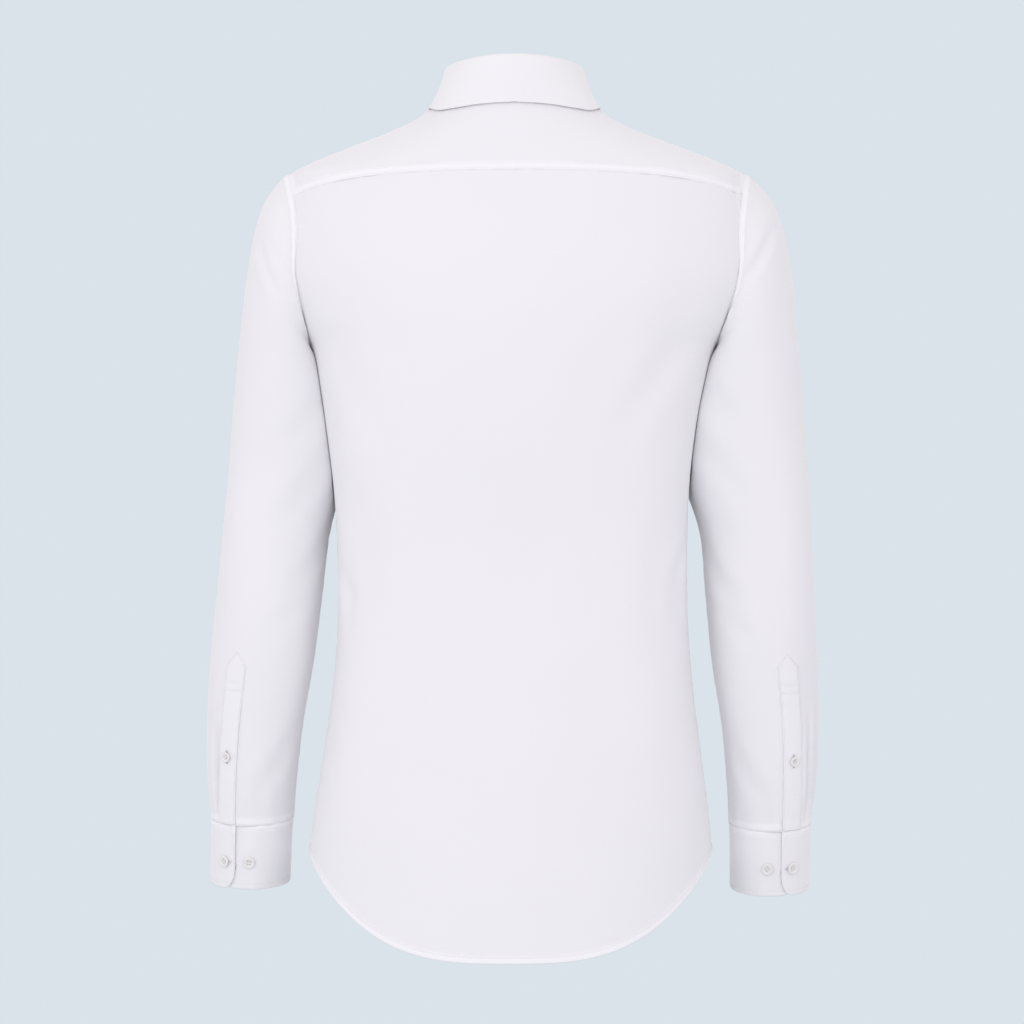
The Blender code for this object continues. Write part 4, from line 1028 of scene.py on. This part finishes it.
def cuff(side, seed):
    """The band as a grid along its length, shortened in a quarter round at both lower corners."""
    radius, _, long = cuff_size()
    along = (long * spaced(112, long))[:, None]
    short = corner(np.minimum(along, long - along), CUFF_ROUND_WIDE, CUFF_ROUND_TALL)
    ring = CUFF_TOP_RING + spaced(22, CUFF_TALL) * (1 - short / CUFF_TALL)
    way = CUFF_EDGE[side] - np.degrees(along / radius) + 0 * ring
    face, out = on_sleeve(side, way, ring, cuff_lift(along))
    top, below = from_edge(face, "top"), from_edge(face, "start", "end", "bottom")
    relief = np.minimum(raised(below), raised(top, 0.0015, 0.0024))
    relief -= CUFF_EDGE_DENT * bell(below - CUFF_EDGE_ROW, THICK_DENT_WIDE)
    for row in CUFF_TOP_ROWS:
        relief -= STIFF_DENT * bell(top - row, THICK_DENT_WIDE)
    relief += pucker(run(face, 0), np.minimum(top, below), seed, high=0.00013, reach=0.009)
    face = face + relief[..., None] * out
    rows = [stitched_row(face, out, "top", row) for row in CUFF_TOP_ROWS]
    for edge, part in (("bottom", slice(6, -6)), ("start", slice(-4))):
        rows.append(stitched_row(face, out, edge, CUFF_EDGE_ROW, part))
    field = seam_field(face, ("start", "end", "top", "bottom"), 0.0)
    field[..., 2] = seam_field(face, ("top",), CUFF_TOP_LAYERS)[..., 2]
    name, right = f"cuff_{side}", side == "right"
    pieces = cloth(name, face, out, field, rows, wall=STIFF_WALL, look=stiff_poplin, mirror=right)


cuff("left", 0.5)
cuff("right", 1.7)


# ============================================================ collar
# A band that stands on the neckline, buttoned at the front, and a fall that is sewn to its top
# and turned down over it to two points. Both are doubled and interlined.
BAND_BACK, BAND_FRONT, BAND_ROUND, BAND_FOOT, BAND_ROW = 0.0302, 0.0232, 0.0100, 0.0011, 0.0026
BAND_SLOPE, BAND_LEAN_SIDE, BAND_LEAN_FRONT = 8, 0.0045, 0.0040
FALL_LIFT, FALL_BELLY, FALL_HOLLOW = 0.0010, 0.0012, 0.0024
FALL_FRONT_TURN, FALL_ROW = 176.0, 0.0046

# The fall's lower edge: how far out from the neckline it reaches, round the neck.
FALL_EDGE = table(
    "turn reach",
    (0, 0.0034), (15, 0.0046), (30, 0.0076), (45, 0.0128), (58, 0.0174),
    (72, 0.017), (90, 0.015), (108, 0.0186), (128, 0.0255), (146, 0.0335),
)
# The fall's roll over the band: how far out and up from the band's top edge each point lies.
FALL_ROLL = np.array(
    [(-0.0019, 0.0015), (-0.0012, 0.0031), (0.0005, 0.0040), (0.0024, 0.0034), (0.0035, 0.0012)]
)


def lap(turn):
    """Radial shift of the collar band's two front ends: the left end lies on the right end."""
    return np.sign(turn) * (STIFF + LAY) / 2 * ease((np.abs(turn) - 150) / 20)


def band_point(turn, height):
    """The band's outer face: upright on the neck oval, drawn in a little towards its top."""
    share = height / BAND_BACK
    wide = NECK_WIDTH - BAND_LEAN_SIDE * share + lap(turn)
    deep = NECK_DEPTH - BAND_LEAN_FRONT * share + lap(turn)
    return np.stack([wide * sin(turn), deep * cos(turn), height - neckline(turn)[1] + BAND_FOOT], axis=-1)


def band_height(turn):
    """Height of the band: lowest at its front ends, and hardly lower at the sides than behind."""
    return BAND_FRONT + (BAND_BACK - BAND_FRONT) * cos(turn / 2) ** BAND_SLOPE


def collar_band():
    """The band's outer face, its front corners rounded."""
    end = neck_turn(-OVERLAP)
    turn = end * (2 * spaced(130, 0.42) - 1)
    tall = band_height(turn) - corner(np.radians(end - np.abs(turn)) * NECK_WIDTH, BAND_ROUND, BAND_ROUND)
    height = np.linspace(-0.0008, tall, 22).T
    turn = turn[:, None] + 0 * height
    face = band_point(turn, height)
    out = -square_to(band_point, turn, height, (0.5, 0.001))
    out *= np.sign((out[..., :2] * face[..., :2]).sum(axis=-1, keepdims=True))
    face = face + raised(from_edge(face, "start", "end", "bottom"))[..., None] * out
    rows = [stitched_row(face, out, "top", BAND_ROW)]
    field = seam_field(face, ("start", "end"), 0.0)
    pieces = cloth("collar_band", face, out, field, rows, wall=STIFF, look=stiff_poplin)
    return pieces[0]


def fall_face():
    """Points of the fall: up the band's inner face, over its top on a rolled curve, then down and
    out to its lower edge over the shirt, bellied at the back and hollow at the sides."""
    turn = FALL_FRONT_TURN * (2 * spaced(250, 0.42) - 1)
    top = band_point(np.abs(turn), band_height(turn))
    top[:, 0] *= np.sign(turn)
    across = unit(np.stack([NECK_DEPTH * sin(turn), NECK_WIDTH * cos(turn), 0 * turn], axis=-1))
    up = unit(np.cross(np.gradient(top, turn, axis=0), across))
    leaned = np.abs(turn) / FALL_FRONT_TURN
    edge_turn = turn * (1 - (1 - FALL_EDGE["turn"][-1] / FALL_FRONT_TURN) * leaned**4)
    foot = neckline(edge_turn, read(FALL_EDGE, "reach", np.abs(edge_turn)))
    edge = torso(*foot) + FALL_LIFT * torso_outward(*foot)
    rolled = np.append(0, np.cumsum(np.hypot(*np.diff(FALL_ROLL, axis=0).T)))
    knots = table("along out up", *((s, *knot) for s, knot in zip(rolled, FALL_ROLL)))
    # Its first two lines are sewn down on the band's inner face.
    lines = [top - 0.0020 * across + s * up for s in (-0.0011, 0.0003)]
    for s in np.linspace(0, rolled[-1], 15):
        lines.append(top + across * read(knots, "out", s) + up * read(knots, "up", s))
    start = lines[-1]
    for t in spaced(26, 0.042, "last")[1:]:
        belly = (FALL_BELLY * np.abs(cos(turn)) - FALL_HOLLOW * sin(turn) ** 2) * np.sin(np.pi * t)
        lines.append(start * (1 - t) + edge * t + across * belly[:, None])
    return np.stack(lines, axis=1)


def collar_fall(band):
    """The fall, its front edges and its lower edge rounded down over a row of stitching."""
    face = fall_face()
    out = unit(np.cross(np.gradient(face, axis=1), np.gradient(face, axis=0)))
    sides = "start", "end", "bottom"
    edges = from_edge(face, *sides)
    relief = raised(edges, 0.0007) - STIFF_DENT * bell(edges - FALL_ROW, THICK_DENT_WIDE)
    relief += puckered(face, "bottom", 1.6, high=0.00012, reach=0.007)
    face = face + relief[..., None] * out
    rows = [
        stitched_row(face, out, edge, FALL_ROW, part)
        for edge, part in (("bottom", slice(7, -7)), ("start", slice(14, -6)), ("end", slice(14, -6)))
    ]
    field = seam_field(face, sides, 0.0)
    fall, stitches = cloth("collar_fall", face, out, field, rows, wall=STIFF_WALL, look=stiff_poplin)
    # Its layers are pressed thinner towards the lower edge, and where it is sewn to the band.
    thinner = fall.vertex_groups.new(name="thinner")
    tall = face.shape[1]
    shares = (1 - 0.60 * ease((np.linspace(0, 1, tall) - 0.6) / 0.3)) * ease((np.arange(tall) + 0.6) / 4)
    for line, share in enumerate(shares):
        thinner.add(list(range(line, len(face) * tall, tall)), float(share), "REPLACE")
    fall.modifiers["wall"].vertex_group = "thinner"


collar_fall(collar_band())


# ============================================================ buttons and buttonholes
# Shirt buttons turned from shell-like resin, four holes each, sewn on with white thread. Where
# one closes an edge, a worked buttonhole lies under it: two rows of close satin stitches.
BUTTON_WIDE, BUTTON_TALL = 0.0114, 0.0026
CUFF_BUTTON_WIDE, SMALL_BUTTON_WIDE = 0.0110, 0.0094
CUFF_BUTTON_IN, CUFF_BUTTON_NEXT, PLACKET_BUTTON_UP = 0.0108, 0.0135, 0.0600
FRONT_BUTTON_FIRST, FRONT_BUTTON_STEP, FRONT_BUTTONS = 0.1370, 0.0860, 7
HOLE_LONG, CUFF_HOLE_LONG, SMALL_HOLE_LONG = 0.0150, 0.0140, 0.0125
# Each thread hole's place from the button's middle both ways, and its radius.
HOLE_AWAY, HOLE_WIDE = 0.00125, 0.00062
# Shares of a button's height or radius: a pit's depth, the thread's height, and the foot's radius.
PIT_DEEP, THREAD_UP, FOOT = 0.5, 0.62, 0.82
SATIN_STEP, SATIN_REACH = 0.00045, (0.00012, 0.0012)
FRONT_LIFT, FRONT_HOLE_LIFT, PLACKET_SEAT = 0.0009, 0.0004, 0.0019

# A button's height for each share of its radius: a dished middle inside a rounded rim.
PROFILE = np.array([(0, 0.66), (0.50, 0.66), (0.66, 0.95), (0.80, 1.0), (0.93, 0.90), (1.0, 0.60)])

pearl = plain_look("pearl", (0.86, 0.845, 0.835), 0.24, coat=0.35, grain=0.05, grain_scale=260.0)
threads, hole_rows = [], []


def square_frame(facing, level):
    """Directions of a button: along its buttonhole, across it, and the way that it faces."""
    facing = unit(facing)
    along = unit(level - facing * (level @ facing))
    return np.stack([along, np.cross(facing, along), facing])


def button(name, wide, seat, facing, level, lift=LAY, tilt=0.0):
    """A round button: a height for each place on a disc, with a raised rim, a dished middle and
    four pits, closed underneath. Its thread crosses between the pits."""
    r, h, pit = wide / 2, BUTTON_TALL, HOLE_AWAY * wide / BUTTON_WIDE
    rings = np.concatenate([np.linspace(0, 0.48, 13), np.linspace(0.52, 0.96, 12), [0.985, 1.0]])
    spin = np.linspace(0, 2 * np.pi, 56, endpoint=False)[:, None]
    x, y = (rings * r * f(spin) for f in (np.cos, np.sin))
    high = np.interp(rings, *PROFILE.T) * h
    z = high + 0 * x
    for sx, sy in ((1, 1), (1, -1), (-1, 1), (-1, -1)):
        z -= PIT_DEEP * h * fade(np.hypot(x - sx * pit, y - sy * pit), 0.6 * HOLE_WIDE, 0.8 * HOLE_WIDE)
    foot = np.stack([FOOT * r * np.cos(spin), FOOT * r * np.sin(spin), 0 * spin], axis=-1)
    disc = np.concatenate([np.stack([x, y, z], axis=-1)[:, 1:], foot], axis=1)
    along, aside, facing = square_frame(facing, level)
    turned = along * np.cos(tilt) + aside * np.sin(tilt), aside * np.cos(tilt) - along * np.sin(tilt)
    turned, middle = np.stack([*turned, facing]), seat + facing * lift
    i = np.arange(disc[..., 0].size).reshape(disc.shape[:2])
    after, centre = np.roll(i, -1, axis=0), np.full(len(i), i.size)
    quads = np.stack([i[:, :-1], i[:, 1:], after[:, 1:], after[:, :-1]], -1).reshape(-1, 4).tolist()
    top = np.stack([centre, i[:, 0], after[:, 0]], -1).tolist()
    under = np.stack([centre + 1, after[:, -1], i[:, -1]], -1).tolist()
    points = np.concatenate([disc.reshape(-1, 3), [(0, 0, high[0]), (0, 0, 0)]]) @ turned + middle
    ends, far = (
        np.array([(x * pit, y * pit, THREAD_UP * h) for y in (1, -1)]) @ turned + middle for x in (-1, 1)
    )
    threads.append((ends, far, np.broadcast_to(facing, ends.shape)))
    finished(name, hung(points), quads + top + under, pearl, "_turned")


def buttonhole(seat, facing, level, long):
    """Satin stitches side by side along both lips of a slit of this length."""
    along, aside, facing = square_frame(facing, level)
    s = np.linspace(-long / 2, long / 2, int(long / SATIN_STEP))[:, None]
    for lip in (-1, 1):
        inner, outer = (seat + along * s + aside * lip * out for out in SATIN_REACH)
        hole_rows.append((inner, outer, np.broadcast_to(facing, inner.shape)))


up, across = np.array([0.0, 0.0, 1.0]), np.array([1.0, 0.0, 0.0])
for number in range(FRONT_BUTTONS):
    place = 180.0, FRONT_BUTTON_FIRST + FRONT_BUTTON_STEP * number
    seat, facing = torso(*place), torso_outward(*place)
    tilt = 0.3 * np.sin(7 * number)
    button(f"front_button_{number + 1}", BUTTON_WIDE, seat, facing, up, lift=FRONT_LIFT, tilt=tilt)
    buttonhole(seat + facing * FRONT_HOLE_LIFT, facing, up, HOLE_LONG)
seat, facing = band_point(180.0, BAND_FRONT / 2), np.array([0.0, -BAND_BACK, BAND_LEAN_FRONT])
button("collar_button", BUTTON_WIDE, seat, facing, across, tilt=0.2)
buttonhole(seat, facing, across, HOLE_LONG)
cuff_radius, cuff_around, _ = cuff_size()
for side, first_tilt in (("left", 0.4), ("right", -0.25)):
    over = mirrored(np.ones(3)) if side == "right" else np.ones(3)
    for number, along in ((1, CUFF_BUTTON_IN), (2, cuff_around - CUFF_BUTTON_NEXT)):
        way = CUFF_EDGE[side] - np.degrees(along / cuff_radius)
        ring = (CUFF_TOP_RING + CUFF_LOW_RING) / 2 + 0.1
        level = (sleeve(side, way + 1, ring) - sleeve(side, way - 1, ring)) * over
        seat, facing = (value * over for value in on_sleeve(side, way, ring, cuff_lift(along)))
        name, tilt = f"cuff_button_{side}_{number}", first_tilt + 0.5 * number
        button(name, CUFF_BUTTON_WIDE, seat, facing, level, tilt=tilt)
        if number == 1:
            buttonhole(seat, facing, level, CUFF_HOLE_LONG)
    way, ring = placket_place(side, 0.5, PLACKET_BUTTON_UP)
    level = (sleeve(side, way, ring - 0.1) - sleeve(side, way, ring + 0.1)) * over
    seat, facing = (value * over for value in on_sleeve(side, way, ring, PLACKET_SEAT))
    button(f"placket_button_{side}", SMALL_BUTTON_WIDE, seat, facing, level, tilt=0.5)
    buttonhole(seat, facing, level, SMALL_HOLE_LONG)

stitching("button_thread", threads, wide=0.00075, high=0.0005)
stitching("buttonhole_stitching", hole_rows, wide=0.00040, high=0.00034)

# ============================================================ floor, light and camera
# A pale seamless room, evenly lit: a flat wall colour behind, a matt floor far below, and two
# large soft lights behind the wearer, one just above the camera and one to the wearer's left.
FLOOR_HALF, FLOOR_Z = 1.5, -1.30
SHIRT_MIDDLE, SIDE_LINE_Y = -0.379, -0.0185
LIGHT_COLOUR, LIGHT_AIM = (1.0, 0.985, 1.0), Vector((0.0, 0.0, -0.38))
ROOM_COLOUR, ROOM_STRENGTH, WALL_COLOUR = (1.0, 0.985, 1.01, 1.0), 0.875, (0.7011, 0.7682, 0.8228, 1.0)
AWAY, FRAME_WIDE, FRAME_SHIFT, SENSOR = 3.4, 0.94208, -2.5 / 1024, 36.0

floor = placed("floor", bpy.data.meshes.new("floor"))
corners = [(x * FLOOR_HALF, y * FLOOR_HALF, FLOOR_Z) for x, y in ((-1, -1), (1, -1), (1, 1), (-1, 1))]
floor.data.from_pydata(corners, [], [(0, 1, 2, 3)])
floor.data.materials.append(plain_look("floor_paint", (0.72, 0.76, 0.80), 0.9, grain=0.2, grain_scale=60.0))

# Two square soft lights: name, place, width and watts. Both are turned to the shirt's middle.
lights = ("front", (0.15, 3.4, 0.30), 2.2, 13.0), ("key", (1.3, 3.2, -0.20), 1.6, 11.0)
for name, place, size, watts in lights:
    light = bpy.data.lights.new(name, "AREA")
    light.size, light.energy, light.color = size, watts, LIGHT_COLOUR
    lamp = placed(name, light)
    lamp.location = place
    lamp.rotation_euler = (Vector(place) - LIGHT_AIM).to_track_quat("Z", "Y").to_euler()

world = bpy.data.worlds.new("room")
bpy.context.scene.world = world
world.use_nodes = True
tree = world.node_tree
tree.nodes.clear()
lit = made_by(tree, "Background", 0, Color=ROOM_COLOUR, Strength=ROOM_STRENGTH)
seen = made_by(tree, "Background", 0, Color=WALL_COLOUR, Strength=1.0)
to_camera = made_by(tree, "LightPath", "Is Camera Ray")
room = made_by(tree, "MixShader", 0, {0: to_camera, 1: lit, 2: seen})
wired(tree, tree.nodes.new("ShaderNodeOutputWorld"), {"Surface": room})

# The camera stands level behind the wearer's back. At the side line it takes in a width of
# 0.942 m, shifted a little sideways.
eye = bpy.data.cameras.new("camera")
eye.sensor_width, eye.lens, eye.shift_x = SENSOR, SENSOR * AWAY / FRAME_WIDE, FRAME_SHIFT
camera = placed("camera", eye)
camera.location = (0.0, SIDE_LINE_Y + AWAY, SHIRT_MIDDLE)
camera.rotation_euler = (np.pi / 2, 0.0, np.pi)
bpy.context.scene.camera = camera
bpy.context.scene.view_settings.view_transform = "Standard"
